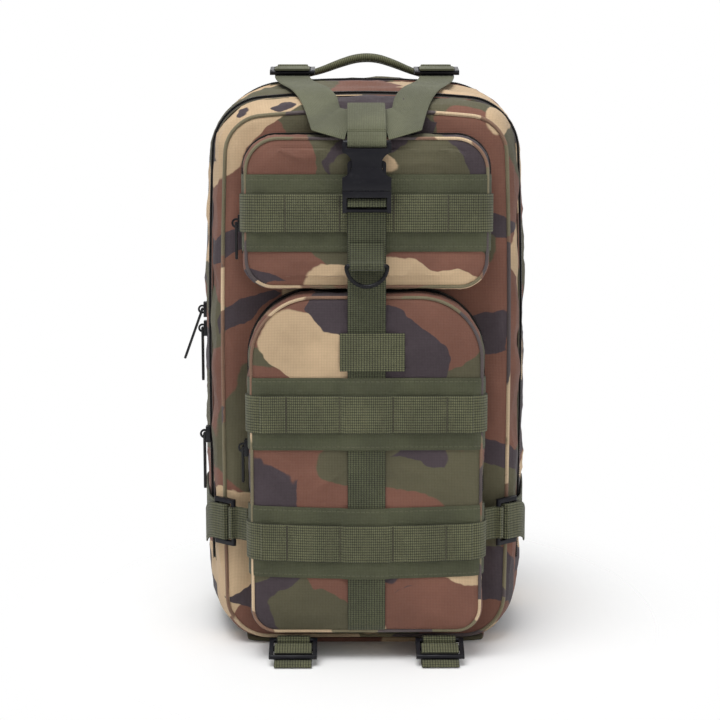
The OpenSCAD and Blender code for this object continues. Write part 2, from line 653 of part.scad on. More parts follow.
ring_y = strap_in - web_t - 4;
ring_half = web_half + 0.8;
module ring_fold() difference() {
    union() {
        rotate([0, 90, 0]) cylinder(r = ring_d / 2 + 0.4 + web_t, h = web_w - 3, center = true);
        strap_yz([[1.2, 2.4], [3.4, 6], [7.4, 15]], web_w - 3);
    }
    rotate([0, 90, 0]) cylinder(r = ring_d / 2 + 0.4, h = web_w + 2, center = true);
}

module d_ring() color(steel_black) translate([0, ring_y, ring_z]) {
    rotate([0, 90, 0]) cylinder(d = ring_d, h = 2 * ring_half, center = true);
    rotate([-90, 0, 0]) rotate_extrude(angle = 180) translate([ring_half, 0]) circle(d = ring_d);
    for (s = [-1, 1]) translate([s * ring_half, 0, 0]) sphere(d = ring_d);
}

// Side tab and ladder lock at each lower corner of the face.
side_yaw = 49;
side_clear = 10;                 // room between the lower pocket and a side lock's middle
side_x = max(body_w / 2 - face_in + 0.4, lower_w / 2 + side_clear);
side_c = [-side_x, face_y - 5.1];
module at_side_lock(s) mirror([s > 0 ? 1 : 0, 0, 0]) translate([side_c[0], side_c[1], side_z])
    rotate([0, 0, side_yaw]) rotate([0, -90, 0]) children();

module side_tabs() color(olive) for (s = [-1, 1]) at_side_lock(s)
    translate([0, -lock_reach, 0]) bar_loop([[-1.2, -1.8], [-2.3, -7], [-2.3, -13.4]], stub_w);

module side_locks() color(black) for (s = [-1, 1]) at_side_lock(s) ladder_lock();

module buckle_plug() color(black) translate([0, buckle_y, socket_z]) plug_half();

// ---------- side straps ----------

// The left one; the right one is its mirror image.
module side_strap() color(olive) {
    at_side_lock(-1) lock_fold(14, 12);
    c = [side_c[0], side_c[1]];
    d = [-sin(side_yaw), cos(side_yaw)];
    n = [-cos(side_yaw), -sin(side_yaw)];
    clear = coil_t + tape_lift + web_t / 2 + 0.5;
    translate([0, 0, side_z - web_half]) linear_extrude(web_w) polygon(thick([
        c + 13.8 * d - fold_z * n, [-half_w(zip2_y) - clear, zip2_y - 3],
        [-half_w(zip2_y) - clear - 0.3, zip2_y + 4], [-half_w(divider_y) - 2.2, divider_y],
        [-half_w(zip_y) - clear, zip_y - 4], [-half_w(zip_y) - clear, zip_y + 4],
        [-half_w(zip_y + 20) - 2.4, zip_y + 20], [-half_w(back_y - 12) - 1.6, back_y - 12],
        [-half_w(back_y - 4) - 1.6, back_y - 4]], web_t));
    // loose tail, drooping to the rear
    tail = [c + 11.6 * d + fold_z * n, c + 16 * d + (fold_z + 3.4) * n, c + 24 * d + (fold_z + 5.4) * n];
    ribbon([for (i = [0:2]) [tail[i][0], tail[i][1], side_z - [0, 2, 9][i]]],
        [for (i = [0:2]) [n[0], n[1], [0, 0.05, 0.1][i]]]);
}
module side_strap_left() side_strap();
module side_strap_right() mirror([1, 0, 0]) side_strap();

// ---------- zip sliders and pulls ----------

module main_slider_upper() color(black) at_main(main_z) slider();
module main_slider_lower() color(black) at_main(main_z - 15) slider();
module main_pull_upper() color(black) at_main(main_z) translate([-bail_x, 0, 0])
    rotate([0, 20, 0]) pull();
module main_pull_lower() color(black) at_main(main_z - 15) translate([-bail_x, 0, 0]) pull();
main_z = 242;
module at_main(z) translate([-half_w(zip_y), zip_y, z]) children();

front_z = 155;
// set off a little, because the side slopes under the slider's wings
module at_front() translate([-half_w(zip2_y) - 0.7, zip2_y, front_z]) children();
module front_slider() color(black) at_front() slider();
module front_pull() color(black) at_front() translate([-bail_x, 0, 0]) pull();

upper_pull_z = upper_z + 46;
lower_pull_z = lower_z + 133;
module at_upper() translate([-upper_w / 2, pocket_zip_y, upper_pull_z]) children();
module at_lower() translate([-lower_w / 2, pocket_zip_y, lower_pull_z]) children();
module upper_slider() color(black) at_upper() slider();
module lower_slider() color(black) at_lower() slider();
module upper_pull() color(black) at_upper() translate([-bail_x, 0, 0]) pull(short_pull_l);
module lower_pull() color(black) at_lower() translate([-bail_x, 0, 0]) pull(short_pull_l);

// ---------- carrying straps ----------

pad_back = back_y + gap + pad_t;
shoulder_x = 85;                 // distance of the lower ends from the middle
shoulder_top = body_h - 26;
shoulder_l = 181;                // drop from the top to the padding's lower end
shoulder_end = shoulder_top - shoulder_l;
module shoulder_pad_left() color(black) shoulder_pad(1);
module shoulder_pad_right() color(black) shoulder_pad(-1);
module shoulder_pad(s) padded([for (p = [[45, back_y + 0.4, 0], [45, pad_back + 4, 0],
        [50, pad_back + 14, -10], [58, pad_back + 20, -50], [68, pad_back + 20, -100],
        [shoulder_x - 6, pad_back + 16, 33 - shoulder_l], [shoulder_x, pad_back + 13, 14 - shoulder_l],
        [shoulder_x, pad_back + 12, -shoulder_l]])
        [s * p[0], p[1], shoulder_top + p[2]]],
    [for (n = [0, 0.5, 2, 50, 50, 50, 50, 50]) [0, n, 1]],
    [strap_w - 8, strap_w - 6, strap_w, strap_w, strap_w, strap_w - 4, web_w + 16, web_w + 12],
    strap_t);

lock2_z = shoulder_end - 14;
lock2_y = pad_back + 17;
web_seam_z = 66;                 // where the adjusting webbing is sewn to the back
module at_shoulder_lock(s) translate([s * shoulder_x, lock2_y, lock2_z]) rotate([-90, 0, 0]) children();
module shoulder_lock_left() color(black) at_shoulder_lock(1) ladder_lock();
module shoulder_lock_right() color(black) at_shoulder_lock(-1) ladder_lock();
module shoulder_web_left() color(dark_olive) shoulder_web(1);
module shoulder_web_right() color(dark_olive) shoulder_web(-1);
module shoulder_web(s) {
    at_shoulder_lock(s) lock_fold(14, 26);
    at_shoulder_lock(s) translate([0, -lock_reach, 0])
        bar_loop([[web_t - loop_r, 0], [-4.9, 0]], stub_w);
    translate([s * shoulder_x, 0, 0]) strap_yz([[lock2_y - fold_z, lock2_z - 13.8],
        [lock2_y - 8, lock2_z - 60], [pad_back + 2.4, web_seam_z + 18], [pad_back + 1.2, web_seam_z]]);
}

sternum_z = shoulder_top - 65;
sternum_y = pad_back + 20 + strap_t + gap + web_t / 2;
module sternum_left() color(dark_olive) sternum_web(1);
module sternum_right() color(dark_olive) sternum_web(-1);
module sternum_web(s) translate([0, 0, sternum_z - 12.5]) linear_extrude(25)
    polygon(thick([[s * 86, sternum_y], [s * 30.3, sternum_y]], web_t));
module sternum_socket() color(black) translate([32, sternum_y, sternum_z]) belt_half(0);
module sternum_plug() color(black) translate([-32, sternum_y, sternum_z]) belt_half(1);

// Small side-release halves lying along X: the socket on the left, the plug on the right.
module belt_half(plug) {
    if (plug == 0) difference() {
        translate([-27, -4, -14]) cube([25, 8, 28]);
        translate([-28, -2.4, -11]) cube([22, 4.8, 22]);
        for (s = [-1, 1]) translate([-12, 0, s * 15]) rotate([90, 0, 0])
            cylinder(r = 6, h = 12, center = true);
    } else {
        translate([2, -4, -14]) cube([6, 8, 28]);
        for (s = [-1, 1]) translate([7, -1.8, s * 9 - 1.3]) cube([16, 3.6, 2.6]);
        translate([7, -1.8, -1.4]) cube([13, 3.6, 2.8]);
    }
}

belt_w = 38;
belt_z = 34;
belt_y = pad_back + 5;
module belt_left() color(black) belt_web(1);
module belt_right() color(black) belt_web(-1);
module belt_web(s) translate([0, 0, belt_z - belt_w / 2]) linear_extrude(belt_w)
    polygon(thick([[s * 106, back_y + 0.5], [s * 106, back_y + 3], [s * 102, back_y + 9],
        [s * 95, belt_y - 2.4], [s * 86, belt_y], [s * 30.3, belt_y]], 2));
module belt_socket() color(black) translate([32, belt_y, belt_z]) belt_half(0);
module belt_plug() color(black) translate([-32, belt_y, belt_z]) belt_half(1);

// ---------- drawing ----------

base_panel();
rear_shell();
back_pads();
frame_sheet();
inner_sleeve();
main_zip_rear();
top_anchors();
side_loops();
bottom_straps();
bottom_locks();
haul_handle();
top_strap();
top_locks();
buckle_socket();
gusset();
divider_panel();
lid_mesh();
organiser();
main_zip_front();
front_zip_rear();
front_shell();
front_zip_front();
upper_pocket();
lower_pocket();
pocket_zips();
pocket_bands();
pocket_loops();
centre_strap();
strap_patch();
side_tabs();
side_locks();
buckle_plug();
d_ring();
side_strap_left();
side_strap_right();
main_slider_upper();
main_pull_upper();
main_slider_lower();
main_pull_lower();
front_slider();
front_pull();
upper_slider();
upper_pull();
lower_slider();
lower_pull();
shoulder_pad_left();
shoulder_pad_right();
shoulder_web_left();
shoulder_web_right();
shoulder_lock_left();
shoulder_lock_right();
sternum_left();
sternum_right();
sternum_socket();
sternum_plug();
belt_left();
belt_right();
belt_socket();
belt_plug();
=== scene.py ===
"""Three-compartment day pack in woodland cloth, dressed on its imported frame."""
import json
import logging
from dataclasses import dataclass
from enum import Enum
from functools import cache
from math import cos, pi, radians, sin
from typing import Callable, Sequence

import bmesh
import bpy
import numpy as np
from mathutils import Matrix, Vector

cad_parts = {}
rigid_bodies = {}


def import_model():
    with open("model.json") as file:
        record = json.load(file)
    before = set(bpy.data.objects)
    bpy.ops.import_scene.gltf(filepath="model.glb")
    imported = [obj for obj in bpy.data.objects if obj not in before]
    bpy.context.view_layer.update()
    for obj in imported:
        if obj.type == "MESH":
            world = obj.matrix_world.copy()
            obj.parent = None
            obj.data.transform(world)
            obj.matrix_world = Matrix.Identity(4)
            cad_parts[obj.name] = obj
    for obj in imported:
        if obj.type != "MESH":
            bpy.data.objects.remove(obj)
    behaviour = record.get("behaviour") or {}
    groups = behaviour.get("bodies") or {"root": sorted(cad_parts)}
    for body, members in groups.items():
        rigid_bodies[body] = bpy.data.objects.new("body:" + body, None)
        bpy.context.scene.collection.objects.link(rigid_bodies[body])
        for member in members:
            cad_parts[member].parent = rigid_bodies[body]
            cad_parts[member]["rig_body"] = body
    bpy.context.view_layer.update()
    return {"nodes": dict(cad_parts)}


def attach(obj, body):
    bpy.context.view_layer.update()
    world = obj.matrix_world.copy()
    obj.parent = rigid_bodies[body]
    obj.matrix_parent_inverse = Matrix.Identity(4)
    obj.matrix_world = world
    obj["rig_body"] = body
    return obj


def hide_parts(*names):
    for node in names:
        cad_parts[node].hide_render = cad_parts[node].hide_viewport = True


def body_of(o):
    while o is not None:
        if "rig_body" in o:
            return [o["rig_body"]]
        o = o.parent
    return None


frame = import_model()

log = logging.getLogger("day_pack")
Array = np.ndarray
MM = 0.001
ACROSS, DEEP, UP = (1, 0, 0), (0, 1, 0), (0, 0, 1)
# Points of an outline before it is cut at the ends of a zip.
FINE = 900
# Steepest edge that is shaded smooth, on soft and on hard pieces, in degrees.
SOFT_EDGE, HARD_EDGE = 42, 38
# Webbing: width and thickness in mm, then places across it and its thickness there, as shares.
WEB_W, WEB_T = 27.0, 1.4
WEB_SHARES = np.array([-0.5, -0.485, -0.44, -0.25, 0.0, 0.25, 0.44, 0.485, 0.5])
WEB_SWELL = np.array([0.3, 0.8, 1.0, 1.0, 1.0, 1.0, 1.0, 0.8, 0.3])
# Swelling of the pads: size of the remeshed faces in mm, pressure, frames, and the longest move in mm.
SWELL_VOXEL, SWELL_PRESSURE, SWELL_FRAMES, SWELL_CAP = 4.0, 4.0, 20, 5.0


# ---------------------------------------------------------------- curves and surfaces


def unit(vectors: Array) -> Array:
    """Vectors divided by their length along the last axis."""
    return vectors / np.maximum(np.linalg.norm(vectors, axis=-1, keepdims=True), 1e-9)


def run_of(line: Array) -> Array:
    """Distance along a polyline at each of its points, from 0."""
    return np.concatenate([[0.0], np.cumsum(np.linalg.norm(np.diff(line, axis=0), axis=1))])


def at_steps(path: Array, count: int, closed: bool = False) -> Array:
    """Cuts a polyline into equal steps of length.

    Args:
        path: Points, one row each.
        count: Number of points wanted.
        closed: Whether the last point joins the first.

    Returns:
        Points at s = k L / (count - 1), or k L / count where closed.
    """
    points = np.asarray(path, float)
    points = np.vstack([points, points[:1]]) if closed else points
    run = run_of(points)
    at = np.linspace(0, run[-1], count, endpoint=not closed)
    return np.stack([np.interp(at, run, points[:, k]) for k in range(points.shape[1])], axis=1)


def eased(path: Sequence, step: float = 2.0, rounds: int = 3, closed: bool = False) -> Array:
    """Softens a polyline by cutting each corner at a quarter of its sides, several times.

    Args:
        path: Corner points in mm.
        step: Length of a step of the result in mm.
        rounds: How many times the corners are cut.
        closed: Whether the path is a closed loop.

    Returns:
        Points at equal steps; an open path keeps its ends.
    """
    points = np.asarray(path, float)
    for _ in range(rounds):
        after = np.roll(points, -1, axis=0) if closed else points[1:]
        before = points if closed else points[:-1]
        cut = np.stack([0.75 * before + 0.25 * after, 0.25 * before + 0.75 * after], 1)
        cut = cut.reshape(-1, points.shape[1])
        points = cut if closed else np.vstack([points[:1], cut[1:-1], points[-1:]])
    return at_steps(points, max(int(round(run_of(points)[-1] / step)) + 1, 4), closed)


def crumple(points: Array, size: float, seed: int) -> Array:
    """Soft folds of cloth: the mean of nine plane waves in random directions.

    Args:
        points: Places in mm, any shape ending in 3.
        size: Typical distance from fold to fold in mm.
        seed: Seed of the directions and phases.

    Returns:
        sum sin(k . p + phase) scaled to a spread of about one, shape without the last axis.
    """
    rng, waves = np.random.default_rng(seed), 9
    turn = unit(rng.normal(size=(waves, 3)))
    k = turn * (2 * pi / (size * rng.uniform(0.6, 1.8, (waves, 1))))
    phase = rng.uniform(0, 2 * pi, waves)
    bent = points + 0.22 * size * np.sin(points[..., [1, 2, 0]] * (2 * pi / (size * 2.3)))
    return np.sin(bent @ k.T + phase).mean(-1) * 1.6


def creases(points: Array, size: float, seed: int) -> Array:
    """Narrow ridges between flat fields: 1 - |crumple| to the third power, less its mean."""
    return (1 - np.minimum(np.abs(crumple(points, size, seed)), 1)) ** 3 - 0.2


@dataclass
class Loft:
    """Sections carried along a path: a grid of points whose columns close on themselves.

    Attributes:
        points: Rows, columns, 3, in mm.
        cloth: Rows, columns + 1, 2: cloth coordinates in mm, or None for run and girth.
        looped: Whether the last row also joins the first; otherwise the ends are closed.
        slots: One material index for each band of rows, or None.
        boxed: Whether the cloth lies flat on the nearest of the three planes, as on a wide panel.
    """

    points: Array
    cloth: Array | None = None
    looped: bool = False
    slots: Array | None = None
    boxed: bool = False

    def parts(self) -> tuple[Array, list, Array, list]:
        """Points, faces, a cloth coordinate for each face corner, and face slots."""
        p = self.points
        rows, cols = p.shape[:2]
        if self.cloth is None:
            run = run_of(p.mean(1))
            girth = np.linalg.norm(np.roll(p, -1, 1) - p, axis=2).mean(0)
            girth = np.concatenate([[0], np.cumsum(girth)])
            self.cloth = np.stack(np.meshgrid(run, girth, indexing="ij"), -1)
        t = self.cloth
        bands = rows if self.looped else rows - 1
        r, c = [a.ravel() for a in np.meshgrid(np.arange(bands), np.arange(cols), indexing="ij")]
        r2, c2 = (r + 1) % rows, (c + 1) % cols
        faces = np.stack([r * cols + c, r * cols + c2, r2 * cols + c2, r2 * cols + c], 1).tolist()
        corner = np.stack([t[r, c], t[r, c + 1], t[r2, c + 1], t[r2, c]], 1).reshape(-1, 2)
        slots = np.zeros(bands, int) if self.slots is None else self.slots
        face_slots = np.repeat(slots, cols).tolist()
        verts = p.reshape(-1, 3)
        if not self.looped:
            j = np.arange(cols)
            j2 = (j + 1) % cols
            n = len(verts)
            verts = np.vstack([verts, p[0].mean(0), p[-1].mean(0)])
            end = (rows - 1) * cols
            faces += np.stack([np.full(cols, n), j2, j], 1).tolist()
            faces += np.stack([np.full(cols, n + 1), end + j, end + j2], 1).tolist()
            for row, flip in ((0, True), (rows - 1, False)):
                a, b = (j + 1, j) if flip else (j, j + 1)
                mid = np.repeat(t[row].mean(0)[None], cols, 0)
                corner = np.vstack([corner, np.stack([mid, t[row, a], t[row, b]], 1).reshape(-1, 2)])
            face_slots += [int(slots[0])] * cols + [int(slots[-1])] * cols
        if self.boxed:
            corner = flat_cloth(verts, faces)
        return verts, faces, corner, face_slots


def flat_cloth(verts: Array, faces: list[list[int]]) -> Array:
    """Cloth coordinates of each face corner: the two axes that its face lies along most nearly."""
    sizes = np.array([len(f) for f in faces])
    index = np.concatenate([np.asarray(f) for f in faces])
    first = np.concatenate([[0], np.cumsum(sizes)[:-1]])
    a, b, c = verts[index[first]], verts[index[first + 1]], verts[index[first + 2]]
    facing = np.abs(np.cross(b - a, c - a)).argmax(1)
    axes = np.array([[1, 2], [0, 2], [0, 1]])[np.repeat(facing, sizes)]
    return np.take_along_axis(verts[index], axes, 1)


@dataclass
class Slab:
    """A sheet with a thickness: a grid of middle points pushed both ways along its normals.

    Attributes:
        points: Rows, columns, 3, in mm.
        thick: Thickness in mm, one number or one for each column or grid point.
        cloth: Rows, columns, 2: cloth coordinates in mm, or None for run and width.
        normals: Rows, columns, 3, or None for the cross product of the grid's steps.
    """

    points: Array
    thick: float | Array
    cloth: Array | None = None
    normals: Array | None = None

    def parts(self) -> tuple[Array, list, Array, list]:
        """Points, faces, a cloth coordinate for each face corner, and face slots."""
        p = self.points
        rows, cols = p.shape[:2]
        along, across = np.gradient(p, axis=0), np.gradient(p, axis=1)
        n = unit(np.cross(along, across)) if self.normals is None else self.normals
        half = np.broadcast_to(np.asarray(self.thick, float) / 2, (rows, cols))[..., None]
        if self.cloth is None:
            run = np.cumsum(np.linalg.norm(np.diff(p, axis=0, prepend=p[:1]), axis=2), 0)
            wide = np.cumsum(np.linalg.norm(np.diff(p, axis=1, prepend=p[:, :1]), axis=2), 1)
            self.cloth = np.stack([run, wide - wide[:, -1:] / 2], -1)
        verts = np.concatenate([(p + n * half).reshape(-1, 3), (p - n * half).reshape(-1, 3)])
        total = rows * cols
        grid = np.arange(total).reshape(rows, cols)
        a, b = grid[:-1, :-1].ravel(), grid[:-1, 1:].ravel()
        d, c = grid[1:, :-1].ravel(), grid[1:, 1:].ravel()
        upper = np.stack([a, d, c, b], 1)
        rim = np.concatenate([grid[0, :-1], grid[:-1, -1], grid[-1, :0:-1], grid[:0:-1, 0]])
        after = np.roll(rim, -1)
        side = np.stack([rim, after, after + total, rim + total], 1)
        faces = np.concatenate([upper, upper[:, ::-1] + total, side])
        corner = self.cloth.reshape(-1, 2)[faces.ravel() % total]
        return verts, faces.tolist(), corner, [0] * len(faces)


def added(name: str, data: bpy.types.ID) -> bpy.types.Object:
    """A new object in the scene."""
    obj = bpy.data.objects.new(name, data)
    bpy.context.scene.collection.objects.link(obj)
    return obj


def host_of(node: str) -> str:
    """The body that a CAD node rides on."""
    return body_of(frame["nodes"][node])[0]


def piece(
    name: str,
    forms: Sequence[Loft | Slab],
    finish: "Finish | Sequence[Finish]",
    stands_for: Sequence[str] = (),
    body: str = "",
    cut: tuple[float, float, float] = (0, 0, 0),
) -> bpy.types.Object:
    """Makes one object from closed forms and gives it finish, place and body.

    Each form is turned so that its signed volume, the sum of a . (b x c) / 6, is positive.

    Args:
        name: Name of the object.
        forms: Lofts and slabs that make up the piece.
        finish: Finish, or one for each face slot.
        stands_for: CAD nodes that the piece replaces.
        body: Body that it rides on; by default that of the first node replaced.
        cut: Where on the printed cloth the piece is cut from, in mm.

    Returns:
        The object.
    """
    verts: list[Array] = []
    faces: list[list[int]] = []
    corners: list[Array] = []
    slots: list[int] = []
    first = 0
    for form in forms:
        v, f, t, s = form.parts()
        a = v[[q[0] for q in f]]
        volume = sum(
            float((a * np.cross(v[[q[k] for q in f]], v[[q[min(k + 1, len(q) - 1)] for q in f]])).sum())
            for k in (1, 2)
        )
        if volume < 0:
            sizes = np.array([len(q) for q in f])
            starts = np.concatenate([[0], np.cumsum(sizes)[:-1]])
            order = np.concatenate([np.arange(b + n - 1, b - 1, -1) for b, n in zip(starts, sizes)])
            f, t = [q[::-1] for q in f], t[order]
        verts.append(v)
        faces += [[i + first for i in q] for q in f]
        corners.append(t)
        slots += s
        first += len(v)
    points = np.concatenate(verts)
    mesh = bpy.data.meshes.new(name)
    mesh.from_pydata((points * MM).tolist(), [], faces)
    layer = mesh.uv_layers.new(name="cloth")
    layer.data.foreach_set("uv", (np.concatenate(corners) * MM).astype(np.float32).ravel())
    printed = mesh.attributes.new("print", "FLOAT_VECTOR", "POINT")
    printed.data.foreach_set("vector", ((points + np.array(cut)) * MM).astype(np.float32).ravel())
    finishes = [finish] if isinstance(finish, Finish) else list(finish)
    for one in finishes:
        mesh.materials.append(one.material())
    mesh.polygons.foreach_set("material_index", slots if len(finishes) > 1 else [0] * len(slots))
    mesh.shade_smooth()
    mesh.set_sharp_from_angle(angle=radians(SOFT_EDGE))
    mesh.update()
    return place(added(name, mesh), finishes[0], stands_for, body)


def place(
    obj: bpy.types.Object, finish: "Finish", stands_for: Sequence[str], body: str = ""
) -> bpy.types.Object:
    """Puts a finished object on its body, in place of its CAD nodes, and reports it."""
    host = body or host_of(stands_for[0])
    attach(obj, host)
    if stands_for:
        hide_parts(*stands_for)
    log.info("%s: %d faces on %s", obj.name, len(obj.data.polygons), host)
    return obj


def settled(obj: bpy.types.Object) -> bpy.types.Mesh:
    """A new mesh of an object with its modifiers applied."""
    graph = bpy.context.evaluated_depsgraph_get()
    return bpy.data.meshes.new_from_object(obj.evaluated_get(graph), depsgraph=graph)


def places(mesh: bpy.types.Mesh) -> Array:
    """Places of a mesh's points, one row each."""
    flat = np.empty(len(mesh.vertices) * 3, np.float32)
    mesh.vertices.foreach_get("co", flat)
    return flat.reshape(-1, 3)


def swelled(pad: bpy.types.Object, held: Callable[[Array], Array]) -> bpy.types.Object:
    """The mesh is remeshed, then blown up with no gravity. A point's move m is cut to
    m * min(1, cap / |m|), and one subdivision follows.

    Args:
        pad: The piece whose mesh is replaced.
        held: Gives the share, 0 to 1, by which each point in mm is pinned.

    Returns:
        The pad.
    """
    scene = bpy.context.scene
    skin = added(pad.name + "_skin", pad.data)
    remesh = skin.modifiers.new("voxels", "REMESH")
    remesh.mode, remesh.voxel_size = "VOXEL", SWELL_VOXEL * MM
    mesh = settled(skin)
    skin.modifiers.clear()
    skin.data = mesh
    before = places(mesh)
    pins = skin.vertex_groups.new(name="pinned")
    for i, share in enumerate(held(before / MM)):
        pins.add([i], float(share), "REPLACE")
    cloth = skin.modifiers.new("cloth", "CLOTH")
    cloth.settings.use_pressure = True
    cloth.settings.uniform_pressure_force = SWELL_PRESSURE
    cloth.settings.effector_weights.gravity = 0.0
    cloth.settings.vertex_group_mass = "pinned"
    cloth.point_cache.frame_start, cloth.point_cache.frame_end = 1, SWELL_FRAMES
    for step in range(1, SWELL_FRAMES + 1):
        scene.frame_set(step)
    move = places(settled(skin)) - before
    reach = np.linalg.norm(move, axis=1, keepdims=True)
    move *= np.minimum(1.0, SWELL_CAP * MM / np.maximum(reach, 1e-9))
    skin.modifiers.clear()
    mesh.vertices.foreach_set("co", (before + move).ravel())
    mesh.update()
    smooth = skin.modifiers.new("smooth", "SUBSURF")
    smooth.levels = smooth.render_levels = 1
    final = settled(skin)
    scene.frame_set(1)
    final.materials.clear()
    for paint in pad.data.materials:
        final.materials.append(paint)
    final.shade_smooth()
    final.name = pad.name
    pad.data = final
    bpy.data.objects.remove(skin)
    log.info("%s swelled by up to %.1f mm", pad.name, float(reach.max()) / MM)
    return pad


def strap(path: Sequence, across: Sequence, width: float = WEB_W, thick: float = WEB_T) -> Slab:
    """Webbing along a path: middle point = path + across * w * a, for a from -1/2 to 1/2.

    The thickness falls to a third at the woven edges.

    Args:
        path: Points along the middle in mm.
        across: Unit direction of the width.
        width: Width in mm.
        thick: Thickness in mm.

    Returns:
        The strap as a slab.
    """
    line = np.asarray(path, float)
    wide = np.broadcast_to(np.asarray(across, float), line.shape)
    offset = np.broadcast_to(width * WEB_SHARES, (len(line), len(WEB_SHARES)))
    points = line[:, None] + wide[:, None] * offset[..., None]
    cloth = np.stack([np.broadcast_to(run_of(line)[:, None], offset.shape), offset], -1)
    normal = unit(np.cross(np.gradient(line, axis=0), wide))
    normals = np.broadcast_to(normal[:, None], points.shape)
    return Slab(points, thick * WEB_SWELL, cloth, normals)


def tube(path: Sequence, radius: float, sides: int = 8, looped: bool = False,
         flat: float = 1.0, up: Sequence = UP) -> Loft:
    """Round cord along a path: point = path + r (cos a * side + flat * sin a * out).

    Args:
        path: Points along the middle in mm.
        radius: Radius in mm.
        sides: Points round the section.
        looped: Whether the path is closed.
        flat: Height of the section as a share of its width.
        up: Direction that out is nearest to.

    Returns:
        The cord as a loft.
    """
    line = np.asarray(path, float)
    ahead = np.roll(line, -1, 0) - np.roll(line, 1, 0) if looped else np.gradient(line, axis=0)
    along = unit(ahead)
    high = np.broadcast_to(np.asarray(up, float), along.shape)
    out = unit(high - along * (along * high).sum(-1, keepdims=True))
    side = np.cross(along, out)
    turn = np.linspace(0, 2 * pi, sides, endpoint=False)
    rim = side[:, None] * np.cos(turn)[None, :, None] + out[:, None] * np.sin(turn)[None, :, None] * flat
    return Loft(line[:, None] + radius * rim, looped=looped)


def turned(points: Array, degrees: float, to: Sequence[float]) -> Array:
    """Points turned about the X axis and then moved: p' = R p + to."""
    a = radians(degrees)
    x, y, z = np.moveaxis(np.asarray(points, float), -1, 0)
    return np.stack([x, y * cos(a) - z * sin(a), y * sin(a) + z * cos(a)], -1) + to


def bar_tack(centre: Sequence, out: Sequence, length: float) -> Slab:
    """Dense upright zigzag stitching: a low ridge of thread 1.9 mm wide, thinner at its rim.

    Args:
        centre: Middle of the tack in mm.
        out: Direction it stands out.
        length: Length in mm.

    Returns:
        The ridge as a slab.
    """
    side = np.cross(np.asarray(UP, float), np.asarray(out, float))
    a, b = np.linspace(-0.5, 0.5, 15), np.linspace(-0.5, 0.5, 5)
    zigzag = 0.22 * np.where(np.arange(15) % 2, 1, -1)
    ridge = np.asarray(centre, float) + np.asarray(UP, float) * (a[:, None, None] * length)
    ridge = ridge + side * ((b[None, :] * 1.9 + zigzag[:, None])[..., None])
    return Slab(ridge, np.array([0.25, 0.8, 1.0, 0.8, 0.25]) * 0.7)


# ---------------------------------------------------------------- finishes


class Place(Enum):
    """Where a finish takes its coordinates from."""

    OBJECT = "Object"
    PRINT = "print"
    CLOTH = "cloth"


class Wiring:
    """Adds nodes to one tree and joins them."""

    def __init__(self, tree: bpy.types.NodeTree) -> None:
        """Keeps the tree."""
        self.tree = tree

    def node(self, kind: str, **settings: object) -> bpy.types.Node:
        """A new node of that kind with its settings."""
        made = self.tree.nodes.new(kind)
        for key, value in settings.items():
            setattr(made, key, value)
        return made

    def feed(self, socket: bpy.types.NodeSocket, source: object) -> None:
        """Joins a source socket, or sets a plain value."""
        if isinstance(source, bpy.types.NodeSocket):
            self.tree.links.new(source, socket)
        else:
            socket.default_value = source

    def maths(self, operation: str, *terms: object, clamp: bool = False) -> bpy.types.NodeSocket:
        """The result of one arithmetic step on sockets or numbers."""
        made = self.node("ShaderNodeMath", operation=operation, use_clamp=clamp)
        for k, term in enumerate(terms):
            self.feed(made.inputs[k], term)
        return made.outputs[0]

    def vector(self, operation: str, *terms: object) -> bpy.types.NodeSocket:
        """The result of one vector step; SCALE takes its factor as the second term."""
        made = self.node("ShaderNodeVectorMath", operation=operation)
        for k, term in enumerate(terms):
            self.feed(made.inputs["Scale"] if operation == "SCALE" and k else made.inputs[k], term)
        return made.outputs["Value" if operation in ("DISTANCE", "LENGTH", "DOT_PRODUCT") else "Vector"]

    def noise(self, place: object, scale: float, detail: float = 2.0, rough: float = 0.5) -> bpy.types.Node:
        """Noise over a place given in metres."""
        made = self.node("ShaderNodeTexNoise")
        for name, value in (("Vector", place), ("Scale", scale), ("Detail", detail), ("Roughness", rough)):
            self.feed(made.inputs[name], value)
        return made

    def span(self, value: object, low: float, high: float, to: tuple[float, float] = (0, 1)) -> object:
        """The value carried from low..high to the given range, smoothly and clamped."""
        made = self.node("ShaderNodeMapRange", interpolation_type="SMOOTHSTEP")
        for k, term in enumerate((value, low, high, *to)):
            self.feed(made.inputs[k], term)
        return made.outputs[0]

    def mix(self, share: object, a: object, b: object, blend: str = "MIX") -> bpy.types.NodeSocket:
        """A colour between a and b."""
        made = self.node("ShaderNodeMix", data_type="RGBA", blend_type=blend)
        for k, term in ((0, share), (6, a), (7, b)):
            self.feed(made.inputs[k], term)
        return made.outputs[2]

    def shaded(self, colour: object, shade: object) -> bpy.types.NodeSocket:
        """A colour times a number."""
        return self.mix(1.0, colour, self.vector("SCALE", (1, 1, 1), shade), "MULTIPLY")

    def use(self, tree: bpy.types.NodeTree, **values: object) -> bpy.types.NodeSocket:
        """Places a group with its values and gives back its outputs."""
        made = self.node("ShaderNodeGroup", node_tree=tree)
        for key, value in values.items():
            self.feed(made.inputs[key], value)
        return made.outputs

    def place_of(self, source: Place) -> bpy.types.NodeSocket:
        """The print attribute, the cloth map or the Object coordinates."""
        if source is Place.OBJECT:
            return self.node("ShaderNodeTexCoord").outputs["Object"]
        return self.node("ShaderNodeAttribute", attribute_name=source.value).outputs["Vector"]


